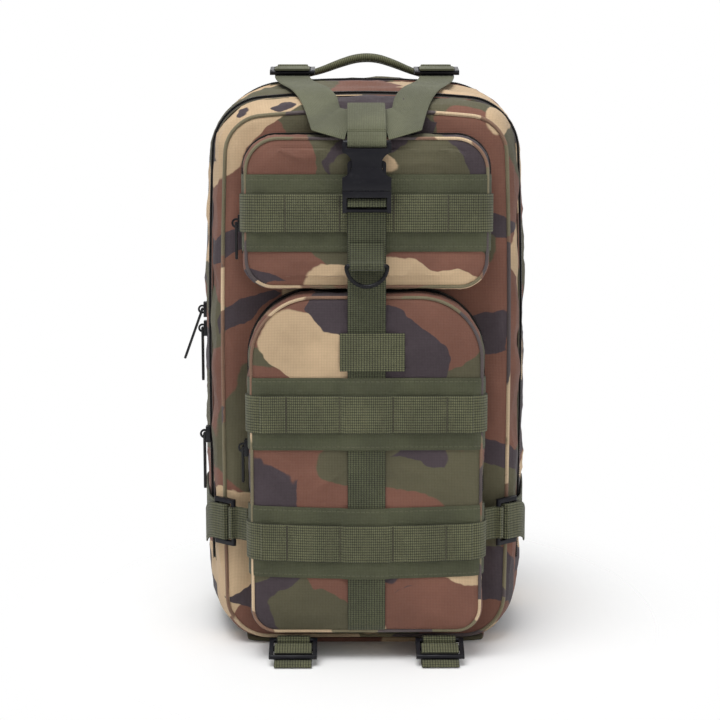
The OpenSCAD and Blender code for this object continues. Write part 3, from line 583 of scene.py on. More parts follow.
def group(name: str, takes: dict[str, object], gives: Sequence[str]) -> tuple[Wiring, object, object]:
    """Opens a new node group, which the finishes share.

    Args:
        name: The group's name.
        takes: Each input's default number, or its kind, Vector or Color.
        gives: Its outputs: Color is a colour and the others are numbers.

    Returns:
        Wiring of the group, its input sockets and its output sockets by name.
    """
    tree = bpy.data.node_groups.new(name, "ShaderNodeTree")
    for label, value in takes.items():
        kind = value if isinstance(value, str) else "Float"
        socket = tree.interface.new_socket(label, in_out="INPUT", socket_type="NodeSocket" + kind)
        if kind == "Float":
            socket.default_value = value
    for label in gives:
        kind = "Color" if label == "Color" else "Float"
        tree.interface.new_socket(label, in_out="OUTPUT", socket_type="NodeSocket" + kind)
    wiring = Wiring(tree)
    return wiring, wiring.node("NodeGroupInput").outputs, wiring.node("NodeGroupOutput").inputs


@cache
def woodland_print() -> bpy.types.NodeTree:
    """Four-colour woodland print: wavy-edged blobs cut from warped noise at set levels."""
    colours = dict.fromkeys(("Brown", "Olive", "Dark", "Tan"), "Color")
    w, i, o = group("woodland_print", {"Place": "Vector", **colours}, ("Color",))
    place = i["Place"]
    for scale, reach in ((34, 0.017), (120, 0.0045)):
        ragged = w.vector("SUBTRACT", w.noise(i["Place"], scale, 1).outputs["Color"], (0.5, 0.5, 0.5))
        place = w.vector("ADD", place, w.vector("SCALE", ragged, reach))
    slant = w.vector("MULTIPLY", place, (0.82, 0.6, 1.12))
    colour = i["Brown"]
    for away, scale, level, name in (
        ((3.1, 0.4, 7.7), 11.5, 0.512, "Olive"),
        ((9.2, 5.5, 2.3), 12.5, 0.598, "Tan"),
    ):
        field = w.noise(w.vector("ADD", slant, away), scale, 0.6, 0.4).outputs["Fac"]
        colour = w.mix(w.span(field, level - 0.004, level + 0.004), colour, i[name])
    first = w.noise(w.vector("ADD", slant, (6.4, 1.2, 4.9)), 10.5, 0.8, 0.4).outputs["Fac"]
    branch = w.maths("ABSOLUTE", w.maths("SUBTRACT", first, 0.5))
    patch = w.noise(w.vector("ADD", slant, (1.9, 8.6, 3.3)), 9.5, 0.5).outputs["Fac"]
    reach = w.span(patch, 0.42, 0.60, (-0.01, 0.075))
    dark = w.span(w.maths("SUBTRACT", reach, branch), -0.002, 0.002)
    w.feed(o["Color"], w.mix(dark, colour, i["Dark"]))
    return w.tree


@cache
def plain_weave() -> bpy.types.NodeTree:
    """Plain weave: |sin|^0.7 along times |sin|^0.7 across, with uneven threads. Its Shade output is painted
    shade, darkest between the threads.
    """
    takes = {"Cloth": "Vector", "Along": 0.002, "Across": 0.002, "Slub": 0.4}
    w, i, o = group("plain_weave", takes, ("Height", "Shade"))
    part = w.node("ShaderNodeSeparateXYZ")
    w.feed(part.inputs[0], i["Cloth"])
    threads = []
    for axis, pitch in ((0, "Along"), (1, "Across")):
        turns = w.maths("MULTIPLY", w.maths("DIVIDE", part.outputs[axis], i[pitch]), pi)
        threads.append(w.maths("POWER", w.maths("ABSOLUTE", w.maths("SINE", turns)), 0.7))
    uneven = w.noise(w.vector("MULTIPLY", i["Cloth"], (900, 160, 1)), 1.0, 2).outputs["Fac"]
    slub = w.maths("MULTIPLY", w.maths("SUBTRACT", uneven, 0.5), i["Slub"])
    height = w.maths("ADD", w.maths("MULTIPLY", *threads), slub, clamp=True)
    w.feed(o["Height"], height)
    # Painted shade: the colour is darkened where the weave dips between threads.
    w.feed(o["Shade"], w.span(height, 0.02, 0.8))
    return w.tree


@cache
def fading() -> bpy.types.NodeTree:
    """Uneven fading from broad noise, and grain from fine noise."""
    w, i, o = group("fading", {"Place": "Vector", "Size": 12.0}, ("Fade", "Grain"))
    broad = w.noise(i["Place"], i["Size"], 4, 0.6).outputs["Fac"]
    w.feed(o["Fade"], w.span(broad, 0.3, 0.72))
    w.feed(o["Grain"], w.noise(i["Place"], 420.0, 3, 0.65).outputs["Fac"])
    return w.tree


@cache
def stitch_row() -> bpy.types.NodeTree:
    """A row of stitches at a distance across: dashes 2.6 mm long with 0.9 mm between."""
    takes = {"Cloth": "Vector", "Line": 0.01, "Pitch": 0.0035}
    w, i, o = group("stitch_row", takes, ("Thread", "Dent"))
    part = w.node("ShaderNodeSeparateXYZ")
    w.feed(part.inputs[0], i["Cloth"])
    off = w.maths("ABSOLUTE", w.maths("SUBTRACT", w.maths("ABSOLUTE", part.outputs[1]), i["Line"]))
    phase = w.maths("FRACT", w.maths("DIVIDE", part.outputs[0], i["Pitch"]))
    dash = w.span(w.maths("ABSOLUTE", w.maths("SUBTRACT", phase, 0.5)), 0.40, 0.34)
    w.feed(o["Thread"], w.maths("MULTIPLY", w.span(off, 0.00045, 0.00025), dash))
    w.feed(o["Dent"], w.span(off, 0.0014, 0.0003))
    return w.tree


Colour = tuple[float, float, float, float]


def tint(red: float, green: float, blue: float) -> Colour:
    """A linear colour with full alpha."""
    return (red, green, blue, 1.0)


@dataclass(frozen=True)
class Finish:
    """Common part of every finish.

    Attributes:
        name: Name of the material.
        slot: Material slot of the record; not used.
        colour: Base colour.
        rough: Roughness.
    """

    name: str
    slot: str
    colour: Colour
    rough: float = 0.8

    @cache
    def material(self) -> bpy.types.Material:
        """The finish's material, made on first use."""
        made = bpy.data.materials.new(self.name)
        made.use_nodes = True
        made.node_tree.nodes.clear()
        wiring = Wiring(made.node_tree)
        shader = wiring.node("ShaderNodeBsdfPrincipled")
        shader.inputs["Base Color"].default_value = self.colour
        shader.inputs["Roughness"].default_value = self.rough
        output = wiring.node("ShaderNodeOutputMaterial")
        wiring.feed(output.inputs["Surface"], shader.outputs[0])
        self.dress(wiring, shader)
        return made

    def dress(self, w: Wiring, shader: bpy.types.Node) -> None:
        """Adds what the plain finish lacks."""

    def gloss(self, w: Wiring, shader: bpy.types.Node, grain: object, less: float, more: float) -> None:
        """Roughness that varies with the grain, from less below its mean to more above."""
        w.feed(shader.inputs["Roughness"], w.span(grain, 0.3, 0.7, (self.rough - less, self.rough + more)))

    @staticmethod
    def tune(shader: bpy.types.Node, **values: float) -> None:
        """Sets plain inputs of the shader; a name's underscores stand for spaces."""
        for name, value in values.items():
            shader.inputs[name.replace("_", " ")].default_value = value

    @staticmethod
    def bump(w: Wiring, shader: bpy.types.Node, height: object, strength: float, depth: float) -> None:
        """Feeds a height in 0..1 to the shader's normal; depth is in metres."""
        made = w.node("ShaderNodeBump")
        Finish.tune(made, Strength=strength, Distance=depth)
        w.feed(made.inputs["Height"], height)
        w.feed(shader.inputs["Normal"], made.outputs[0])


@dataclass(frozen=True)
class PrintedCloth(Finish):
    """Woodland print on plain-woven pack cloth."""

    olive: Colour = tint(0.098, 0.089, 0.051)
    dark: Colour = tint(0.058, 0.043, 0.050)
    sand: Colour = tint(0.56, 0.405, 0.25)

    def dress(self, w: Wiring, shader: bpy.types.Node) -> None:
        """Print, weave with painted shade between the threads, and fading."""
        place = w.place_of(Place.PRINT)
        colour = w.use(woodland_print(), Place=place, Brown=self.colour, Olive=self.olive,
                       Dark=self.dark, Tan=self.sand)["Color"]
        weave = w.use(plain_weave(), Cloth=w.place_of(Place.CLOTH), Along=0.0011, Across=0.0011)
        age = w.use(fading(), Place=place, Size=14.0)
        # Painted shade between the threads, weak on the printed cloth, times uneven fading.
        shade = w.maths("MULTIPLY_ADD", weave["Shade"], 0.24, 0.86)
        shade = w.maths("MULTIPLY", shade, w.span(age["Fade"], 0, 1, (0.88, 1.1)))
        w.feed(shader.inputs["Base Color"], w.shaded(colour, shade))
        self.gloss(w, shader, age["Grain"], 0.08, 0.08)
        height = w.maths("MULTIPLY_ADD", weave["Height"], 0.7, w.maths("MULTIPLY", age["Grain"], 0.5))
        self.bump(w, shader, height, 0.55, 0.0004)
        self.tune(shader, Sheen_Weight=0.08, Sheen_Roughness=0.5, Specular_IOR_Level=0.3)


@dataclass(frozen=True)
class WovenCloth(Finish):
    """Plain cloth or webbing: ribs along and across, an optional row of edge stitches."""

    along: float = 0.0015
    across: float = 0.0019
    deep: float = 0.0006
    # Strength of the painted shade between the threads.
    contrast: float = 0.55
    stitch: float = 0.0
    thread: Colour = tint(0.16, 0.16, 0.095)

    def dress(self, w: Wiring, shader: bpy.types.Node) -> None:
        """Ribs with painted shade between the threads, uneven dye and stitches."""
        cloth = w.place_of(Place.CLOTH)
        weave = w.use(plain_weave(), Cloth=cloth, Along=self.along, Across=self.across)
        age = w.use(fading(), Place=w.place_of(Place.PRINT), Size=26.0)
        # Painted shade between the threads at its set strength, times uneven fading.
        shade = w.maths("MULTIPLY_ADD", weave["Shade"], self.contrast, 1.0 - self.contrast * 0.55)
        shade = w.maths("MULTIPLY", shade, w.span(age["Fade"], 0, 1, (0.86, 1.12)))
        colour = w.shaded(self.colour, shade)
        height = weave["Height"]
        if self.stitch:
            row = w.use(stitch_row(), Cloth=cloth, Line=self.stitch)
            colour = w.mix(w.maths("MULTIPLY", row["Thread"], 0.35), colour, self.thread)
            height = w.maths("SUBTRACT", height, w.maths("MULTIPLY", row["Dent"], 0.8))
            height = w.maths("ADD", height, row["Thread"])
        w.feed(shader.inputs["Base Color"], colour)
        self.gloss(w, shader, age["Grain"], 0.1, 0.06)
        self.bump(w, shader, height, 0.8, self.deep)
        self.tune(shader, Sheen_Weight=0.12, Specular_IOR_Level=0.35)


@dataclass(frozen=True)
class SpacerMesh(Finish):
    """Knitted mesh: round cells in nearly even rows, with painted shade at their middle."""

    cell: float = 0.0026

    def dress(self, w: Wiring, shader: bpy.types.Node) -> None:
        """Cells from the distance to the nearest point of a regular field."""
        cells = w.node("ShaderNodeTexVoronoi", feature="F1")
        self.tune(cells, Scale=1.0 / self.cell, Randomness=0.25)
        w.feed(cells.inputs["Vector"], w.place_of(Place.OBJECT))
        hole_and_shade = w.span(cells.outputs["Distance"], 0.18, 0.42)
        # Painted shade: the holes of the mesh are coloured near black.
        w.feed(shader.inputs["Base Color"], w.mix(hole_and_shade, tint(0.006, 0.006, 0.007), self.colour))
        self.bump(w, shader, hole_and_shade, 0.7, 0.0008)
        self.tune(shader, Sheen_Weight=0.1)


@dataclass(frozen=True)
class Moulded(Finish):
    """Moulded plastic or coated metal: fine grain, and paler in scattered scuffs."""

    metal: float = 0.0
    worn: Colour = tint(0.03, 0.03, 0.034)
    grain: float = 0.00008

    def dress(self, w: Wiring, shader: bpy.types.Node) -> None:
        """Grain, scuffs and a little variation in gloss."""
        age = w.use(fading(), Place=w.place_of(Place.OBJECT), Size=70.0)
        scuff = w.maths("MULTIPLY", w.span(age["Fade"], 0.55, 1.0), w.span(age["Grain"], 0.5, 0.7))
        w.feed(shader.inputs["Base Color"], w.mix(w.maths("MULTIPLY", scuff, 0.5), self.colour, self.worn))
        self.gloss(w, shader, age["Grain"], 0.07, 0.1)
        self.bump(w, shader, age["Grain"], 0.5, self.grain)
        self.tune(shader, Metallic=self.metal, Specular_IOR_Level=0.25)


WOODLAND = PrintedCloth("woodland_cloth", "camouflage_cloth", tint(0.185, 0.082, 0.056), 0.78)
# Woodland print made paler in all four colours: painted highlight on the piped edges.
PIPING_HIGHLIGHT = PrintedCloth(
    "edge_cord_painted_highlight", "camouflage_cloth", tint(0.23, 0.135, 0.09), 0.75,
    tint(0.19, 0.165, 0.10), tint(0.10, 0.08, 0.08), tint(0.60, 0.45, 0.29),
)
WEBBING = WovenCloth("olive_webbing", "olive_webbing", tint(0.083, 0.085, 0.044), 0.78, contrast=1.45)
# Olive webbing coloured darker as painted shade on the recessed centre strap.
SHADED_CENTRE_WEB = WovenCloth(
    "centre_webbing_painted_shade", "olive_webbing", tint(0.058, 0.062, 0.032), 0.78, along=0.0014, contrast=1.4
)
# Olive webbing coloured paler as painted light on the upward-facing Y strap.
LIT_TOP_WEB = WovenCloth(
    "top_strap_painted_light", "olive_webbing", tint(0.114, 0.118, 0.068), 0.8, 0.0011, 0.0012, 0.0004, 0.45
)
BAND = WovenCloth(
    "band_cloth", "band_cloth", tint(0.070, 0.074, 0.039), 0.8, 0.0011, 0.0011, 0.0003, 0.4, stitch=0.0235
)
PIPING = WovenCloth("seam_piping", "band_cloth", tint(0.050, 0.046, 0.034), 0.8, 0.0014, 0.0014, 0.0003, 0.4)
THREAD = WovenCloth(
    "bar_tack_thread", "olive_webbing", tint(0.046, 0.042, 0.022), 0.6, 0.0007, 0.0007, 0.0003, 0.5
)
LINING = WovenCloth(
    "lining_cloth", "lining_cloth", tint(0.052, 0.055, 0.036), 0.75, 0.0009, 0.0009, 0.0002, 0.3
)
BLACK_WEB = WovenCloth("black_webbing", "black_webbing", tint(0.018, 0.018, 0.019), 0.7, contrast=0.4)
TAPE = WovenCloth("zip_tape", "zip_coil", tint(0.030, 0.026, 0.022), 0.8, 0.0008, 0.0008, 0.0002, 0.4)
MESH = SpacerMesh("spacer_mesh", "black_mesh", tint(0.022, 0.022, 0.024), 0.85)
COIL = Moulded("zip_coil", "zip_coil", tint(0.013, 0.013, 0.014), 0.38)
PLASTIC = Moulded("buckle_plastic", "black_plastic", tint(0.0065, 0.0062, 0.0095), 0.4)
PULL = Moulded("pull_plastic", "pull_plastic", tint(0.017, 0.017, 0.018), 0.36)
SLIDER = Moulded("slider_enamel", "slider_metal", tint(0.024, 0.024, 0.026), 0.3, metal=0.6)
RING = Moulded("ring_enamel", "ring_metal", tint(0.020, 0.020, 0.022), 0.28, metal=0.7)


# ---------------------------------------------------------------- the pack's form


@dataclass(frozen=True)
class PackForm:
    """Outer form of the pack in mm: X across, Y from the face to the back, Z up."""

    width: float = 245.0
    height: float = 421.0
    zip_y: float = 30.0
    divider_y: float = -10.0
    second_zip_y: float = -40.0
    face_y: float = -70.0
    back_y: float = 84.0
    wall: float = 3.0
    top_r: float = 54.0
    base_r: float = 30.0
    bow_up: float = 0.055
    bow_low: float = 0.018
    crown: float = 8.0
    stations: tuple[float, ...] = (-70, -62, -40, -10, 30, 50, 72, 80, 84)

    def half_w(self, y: float | Array) -> float | Array:
        """Half the width at depth y, before the outline is narrowed towards its ends."""
        return self.width / 2 - np.interp(y, self.stations, (19, 14.5, 7.5, 2.5, 0, 1.5, 5, 8, 11))

    def top_z(self, y: float | Array) -> float | Array:
        """Height of the top at depth y."""
        return self.height - np.interp(y, self.stations, (27, 21, 13, 6.5, 1, 0, 2, 5, 9))

    def corner_r(self, y: float) -> float:
        """Radius of the upper corners at depth y: the face is squarer than the back."""
        return self.top_r * float(np.interp(y, (-70, -40, -10, 30), (0.44, 0.62, 0.82, 1)))

    def low_z(self, y: float | Array) -> float | Array:
        """Height of the underside at depth y."""
        return 3.3 + np.interp(y, (-70, -62, 72, 80, 84), (4, 0, 0, 2, 6))

    def narrowed(self, z: float | Array) -> float | Array:
        """Share of the width left at height z, 1 - bow s^2, with s from mid-height."""
        s = z / (self.height / 2) - 1
        return 1 - np.where(s > 0, self.bow_up, self.bow_low) * s * s

    def soften(self, p: Array, w: float) -> Array:
        """x narrowed, z - crown t^4 (x/w)^2, with t from the ground."""
        t = p[:, 1] / self.height
        x, z = p[:, 0], p[:, 1]
        return np.stack([x * self.narrowed(z), z - self.crown * t**4 * (x / w) ** 2], 1)

    @staticmethod
    def outline(w: float, z0: float, z1: float, rt: float, rb: float) -> Array:
        """Rounded outline in X and Z from the middle of its base, anticlockwise.

        Args:
            w: Half the width in mm.
            z0: Height of the base.
            z1: Height of the top.
            rt: Radius of the upper corners.
            rb: Radius of the lower corners.

        Returns:
            Points, first one at x = 0 on the base, not repeated at the end.
        """
        a = np.radians(np.linspace(0, 90, 13))
        low = np.stack([w - rb + rb * np.sin(a), z0 + rb - rb * np.cos(a)], 1)
        side = np.stack([np.full(14, w), np.linspace(z0 + rb, z1 - rt, 16)[1:-1]], 1)
        high = np.stack([w - rt + rt * np.cos(a), z1 - rt + rt * np.sin(a)], 1)
        top = np.stack([np.linspace(w - rt, 0, 9)[1:], np.full(8, z1)], 1)
        half = np.concatenate([[[0, z0]], low, side, high, top])
        return np.concatenate([half, (half * (-1, 1))[-2:0:-1]])

    def ring(self, y: float, inset: float = 0.0, count: int = 260) -> Array:
        """Cross-section of the pack at depth y, drawn in by inset, as points in space."""
        w = float(self.half_w(y)) - inset
        flat = self.outline(w, float(self.low_z(y)) + inset, float(self.top_z(y)) - inset,
                            max(self.corner_r(y) - inset, 2), max(self.base_r - inset, 2))
        flat = at_steps(self.soften(flat, w), count, closed=True)
        return np.stack([flat[:, 0], np.full(count, y), flat[:, 1]], 1)

    def rings(self, depths: Sequence[tuple[float, float]], count: int = 260) -> Array:
        """Cross-sections for a list of (y, inset)."""
        return np.stack([self.ring(y, inset, count) for y, inset in depths])

    @staticmethod
    def closing(ring: Array, shares: Sequence[float], centre: tuple[float, float] = (0, 205)) -> Array:
        """Rings drawn towards a centre in X and Z: c + share (p - c), at the ring's own depth."""
        c = np.array([centre[0], 0.0, centre[1]])
        share = np.asarray(shares)[:, None, None] * np.array([1, 0, 1]) + np.array([0, 1, 0])
        return c + (ring[None] - c) * share

    def arch(self, y: float, lift: float, end_z: float, count: int = 0) -> tuple[Array, Array]:
        """Line of a zip over the pack at depth y.

        Args:
            y: Depth of the line.
            lift: How far it stands out from the cloth.
            end_z: Height of both ends.
            count: Number of points, or none for steps of 1 mm.

        Returns:
            Points from the right end over the top to the left end, and their outward normals.
        """
        ring = self.ring(y, -lift, FINE)
        line = ring[ring[:, 2] > end_z]
        line = at_steps(line, count or int(run_of(line)[-1]))
        along = unit(np.gradient(line, axis=0))
        return line, np.cross(along, (0.0, 1.0, 0.0)) * -1.0


FORM = PackForm()
CORE_SHARES = (0.02, 0.4, 0.75, 0.93)


def outward(points: Array) -> Array:
    """Outward normals of a grid whose columns close: the cross product of its steps, turned away
    from the middle of each row."""
    along = np.gradient(points, axis=0)
    around = np.roll(points, -1, 1) - np.roll(points, 1, 1)
    normal = unit(np.cross(around, along))
    away = points - points.mean((0, 1), keepdims=True)
    flip = np.where((normal * away).sum(-1).mean(1) < 0, -1.0, 1.0)
    return normal * flip[:, None, None]


def folded(points: Array, share: Array, size: float, depth: float, seed: int) -> Array:
    """Cloth moved in and out by folds: p + n share depth (crumple + half of fine creases)."""
    wave = crumple(points, size, seed) + 0.5 * creases(points, size * 0.55, seed + 7)
    return points + outward(points) * (share * depth * wave)[..., None]


def hump(y: Array, a: float, b: float) -> Array:
    """sin(pi (y - a) / (b - a)) between a and b, and nothing outside."""
    return np.where((y > a) & (y < b), np.sin(pi * np.clip((y - a) / (b - a), 0, 1)), 0.0)


def coil(line: Array, out: Array, side: int, pitch: float = 1.6) -> Loft:
    """One half of a zip's coil: a flattened helix of filament beside the middle line.

    Args:
        line: Points of the zip's middle in mm.
        out: Outward normals there.
        side: 1 or -1, the half behind or in front.
        pitch: Distance from tooth to tooth.

    Returns:
        The filament as a loft in face slot 1: c + Y r cos t + out h sin t, with t = 2 pi run / pitch.
    """
    run = run_of(line)
    at = np.arange(0, run[-1], pitch / 7)
    pick = lambda a: np.stack([np.interp(at, run, a[:, k]) for k in range(3)], 1)
    centre = pick(line)
    turn = 2 * pi * at / pitch + (0 if side > 0 else pi)
    path = centre + np.array(DEEP) * (side * 0.85 + 1.15 * np.cos(turn))[:, None]
    path = path + pick(out) * (0.62 * np.sin(turn))[:, None]
    filament = tube(path, 0.36, 4, up=unit(np.gradient(centre, axis=0)))
    filament.slots = np.ones(len(path) - 1, int)
    return filament


@dataclass
class Body:
    """Cloth shells of the pack: the rear half, the lid's gusset and the front compartment."""

    form: PackForm = FORM
    puff: float = 1.7
    fold: float = 2.2
    columns: int = 260

    def outer(self, stations: Array, seams: Sequence[float], seed: int) -> Array:
        """Outer cloth over a list of depths, puffed between its seams and lightly creased.

        Args:
            stations: Depths in mm.
            seams: Depths at which the cloth is sewn down.
            seed: Seed of the creases.

        Returns:
            Grid of points.
        """
        grid = self.form.rings([(float(y), 0.0) for y in stations], self.columns)
        y = stations[:, None]
        swell = sum(hump(y, a, b) for a, b in zip(seams[:-1], seams[1:]))
        clear = np.clip((grid[..., 2] - 14) / 40, 0, 1)
        grid = grid + outward(grid) * (swell * self.puff * clear)[..., None]
        return folded(grid, np.sqrt(np.clip(swell, 0, 1)) * clear, 46.0, self.fold, seed)

    @staticmethod
    def shell(
        name: str, points: Array, slots: Sequence[int], cut: tuple, looped: bool = False
    ) -> bpy.types.Object:
        """A lined shell: printed cloth in slot 0 and lining in slot 1, cut from its own place."""
        node = "gusset" if name == "gusset" else name + "_shell"
        form = Loft(points, looped=looped, slots=np.array(slots), boxed=True)
        return piece(name + "_cloth", [form], (WOODLAND, LINING), [node], cut=cut)

    def rear(self) -> bpy.types.Object:
        """Rear half: lined walls from the main zip to the back panel."""
        f = self.form
        lip = f.zip_y + 0.15
        keys = [(f.back_y - f.wall, 12), (72, f.wall), (50, f.wall), (lip + 2, f.wall)]
        inner = f.rings(keys, self.columns)
        core = f.closing(inner[0], CORE_SHARES)
        y = np.concatenate([np.linspace(lip, 72, 17), [75, 78, 80, 82.3, 84]])
        outer = self.outer(y, (lip + 4, 73), 11)
        back = f.closing(outer[-1], (0.985, 0.95, 0.88, 0.7, 0.45, 0.2, 0.02))
        points = np.concatenate([core, inner, outer, back])
        return self.shell("rear", points, [1] * 8 + [0] * (len(points) - 9), (310, 0, 40))

    def gusset(self) -> bpy.types.Object:
        """Lid's gusset: a lined tube from the second zip to the main zip."""
        f = self.form
        a, b = f.second_zip_y + 0.15, f.zip_y - 0.15
        y = np.linspace(a, b, 27)
        outer = self.outer(y, (a + 4, f.divider_y, b - 4), 23)
        inner = f.rings([(float(v), f.wall) for v in np.linspace(b, a, 9)], self.columns)
        slots = [0] * len(outer) + [1] * len(inner)
        return self.shell("gusset", np.concatenate([outer, inner]), slots, (-140, 60, -90), looped=True)

    def front(self) -> bpy.types.Object:
        """Front compartment: lined walls and the face that carries the pockets."""
        f = self.form
        lip = f.second_zip_y - 0.15
        inner = f.rings([(f.face_y + f.wall, 9), (-62, f.wall), (lip, f.wall)], self.columns)
        core = f.closing(inner[0], CORE_SHARES, (0, 200))
        y = np.linspace(lip, -62, 10)
        wall = self.outer(y, (lip - 28, lip + 0.1), 37)
        rim = f.rings([(-65, 0.0), (-68, 0.3), (-69.4, 1.0), (-70, 2.2)], self.columns)
        shares = (0.985, 0.965, 0.94, 0.91, 0.87, 0.8, 0.7, 0.5, 0.25, 0.02)
        face = f.closing(rim[-1], shares)
        edge = np.array([0.4, 0.8, 1, 1, 0.8, 0.4, 0, 0, 0, 0])[:, None]
        rise = 1.2 + 1.5 * crumple(face, 46.0, 41) + 1.2 * creases(face, 30.0, 43)
        face[..., 1] -= edge * rise.clip(-0.4, 3.4)
        points = np.concatenate([core, inner, wall, rim, face])
        return self.shell("front", points, [1] * 6 + [0] * (len(points) - 7), (-236, -20, -864))

    def base(self) -> bpy.types.Object:
        """Stiff base panel with rounded edges."""
        corners = [(-92, 77), (-92, -58), (-84, -66), (84, -66), (92, -58), (92, 77)]
        flat = eased(corners + [(0, 77.5)], 6.0, 2, closed=True)
        rows = []
        for z, inset in ((0, 3), (0, 1.2), (0.9, 0.2), (2.1, 0.2), (3, 1.2), (3, 3)):
            shrink = 1 - inset / 92
            drawn = flat * shrink + (0, 5 * (1 - shrink))
            rows.append(np.column_stack([drawn, np.full(len(flat), z)]))
        form = Loft(np.stack(rows), boxed=True)
        return piece("base_cloth", [form], WOODLAND, ["base_panel"], cut=(20, 420, 10))

    def seams(self) -> list[bpy.types.Object]:
        """Piping round the face and round the back, printed paler as painted highlight."""
        f = self.form
        return [
            piece(name, [tube(f.ring(y, -lift), radius, 8, True, up=DEEP)], PIPING_HIGHLIGHT, body=body)
            for name, body, y, lift, radius in (
                ("face_piping", "front_lid", f.face_y + 1.5, 0.3, 1.5),
                ("back_piping", "pack", f.back_y - 1.5, 0.5, 1.6),
            )
        ]

    def build(self) -> list[bpy.types.Object]:
        """All shells and their piping."""
        return [self.rear(), self.gusset(), self.front(), self.base(), *self.seams()]


@dataclass
class Zips:
    """Main and second zip: tape, coil and the folded cloth on each side."""

    form: PackForm = FORM
    end_z: float = 58.0
    tape_w: float = 6.4

    def half(self, name: str, node: str, y: float, side: int) -> list[bpy.types.Object]:
        """One half of a zip.

        Args:
            name: Name of its pieces.
            node: CAD node that it replaces.
            y: Depth of the zip.
            side: 1 for the half behind it, -1 for the half in front.

        Returns:
            Tape with coil, and the welt of cloth.
        """
        line, out = self.form.arch(y, 0.55, self.end_z)
        beside = lambda off: self.form.arch(y + side * off, 0.55, self.end_z, len(line))[0]
        tape = Slab(np.stack([beside(float(off)) for off in np.linspace(0.15, self.tape_w, 5)], 1), 0.55)
        teeth = coil(line + out, out, side)
        fold = tube(beside(self.tape_w - 1.2) + out * 0.25, 0.62, 8, up=(0, side, 0), flat=2.1)
        return [piece(name, [tape, teeth], (TAPE, COIL), [node]),
                piece(name + "_welt", [fold], WOODLAND, body=host_of(node), cut=(60 * side, 0, 80))]

    def build(self) -> list[bpy.types.Object]:
        """Four halves."""
        f = self.form
        return [
            *self.half("main_zip_back", "main_zip_rear", f.zip_y, 1),
            *self.half("main_zip_lid", "main_zip_front", f.zip_y, -1),
            *self.half("second_zip_back", "front_zip_rear", f.second_zip_y, 1),
            *self.half("second_zip_face", "front_zip_front", f.second_zip_y, -1),
        ]


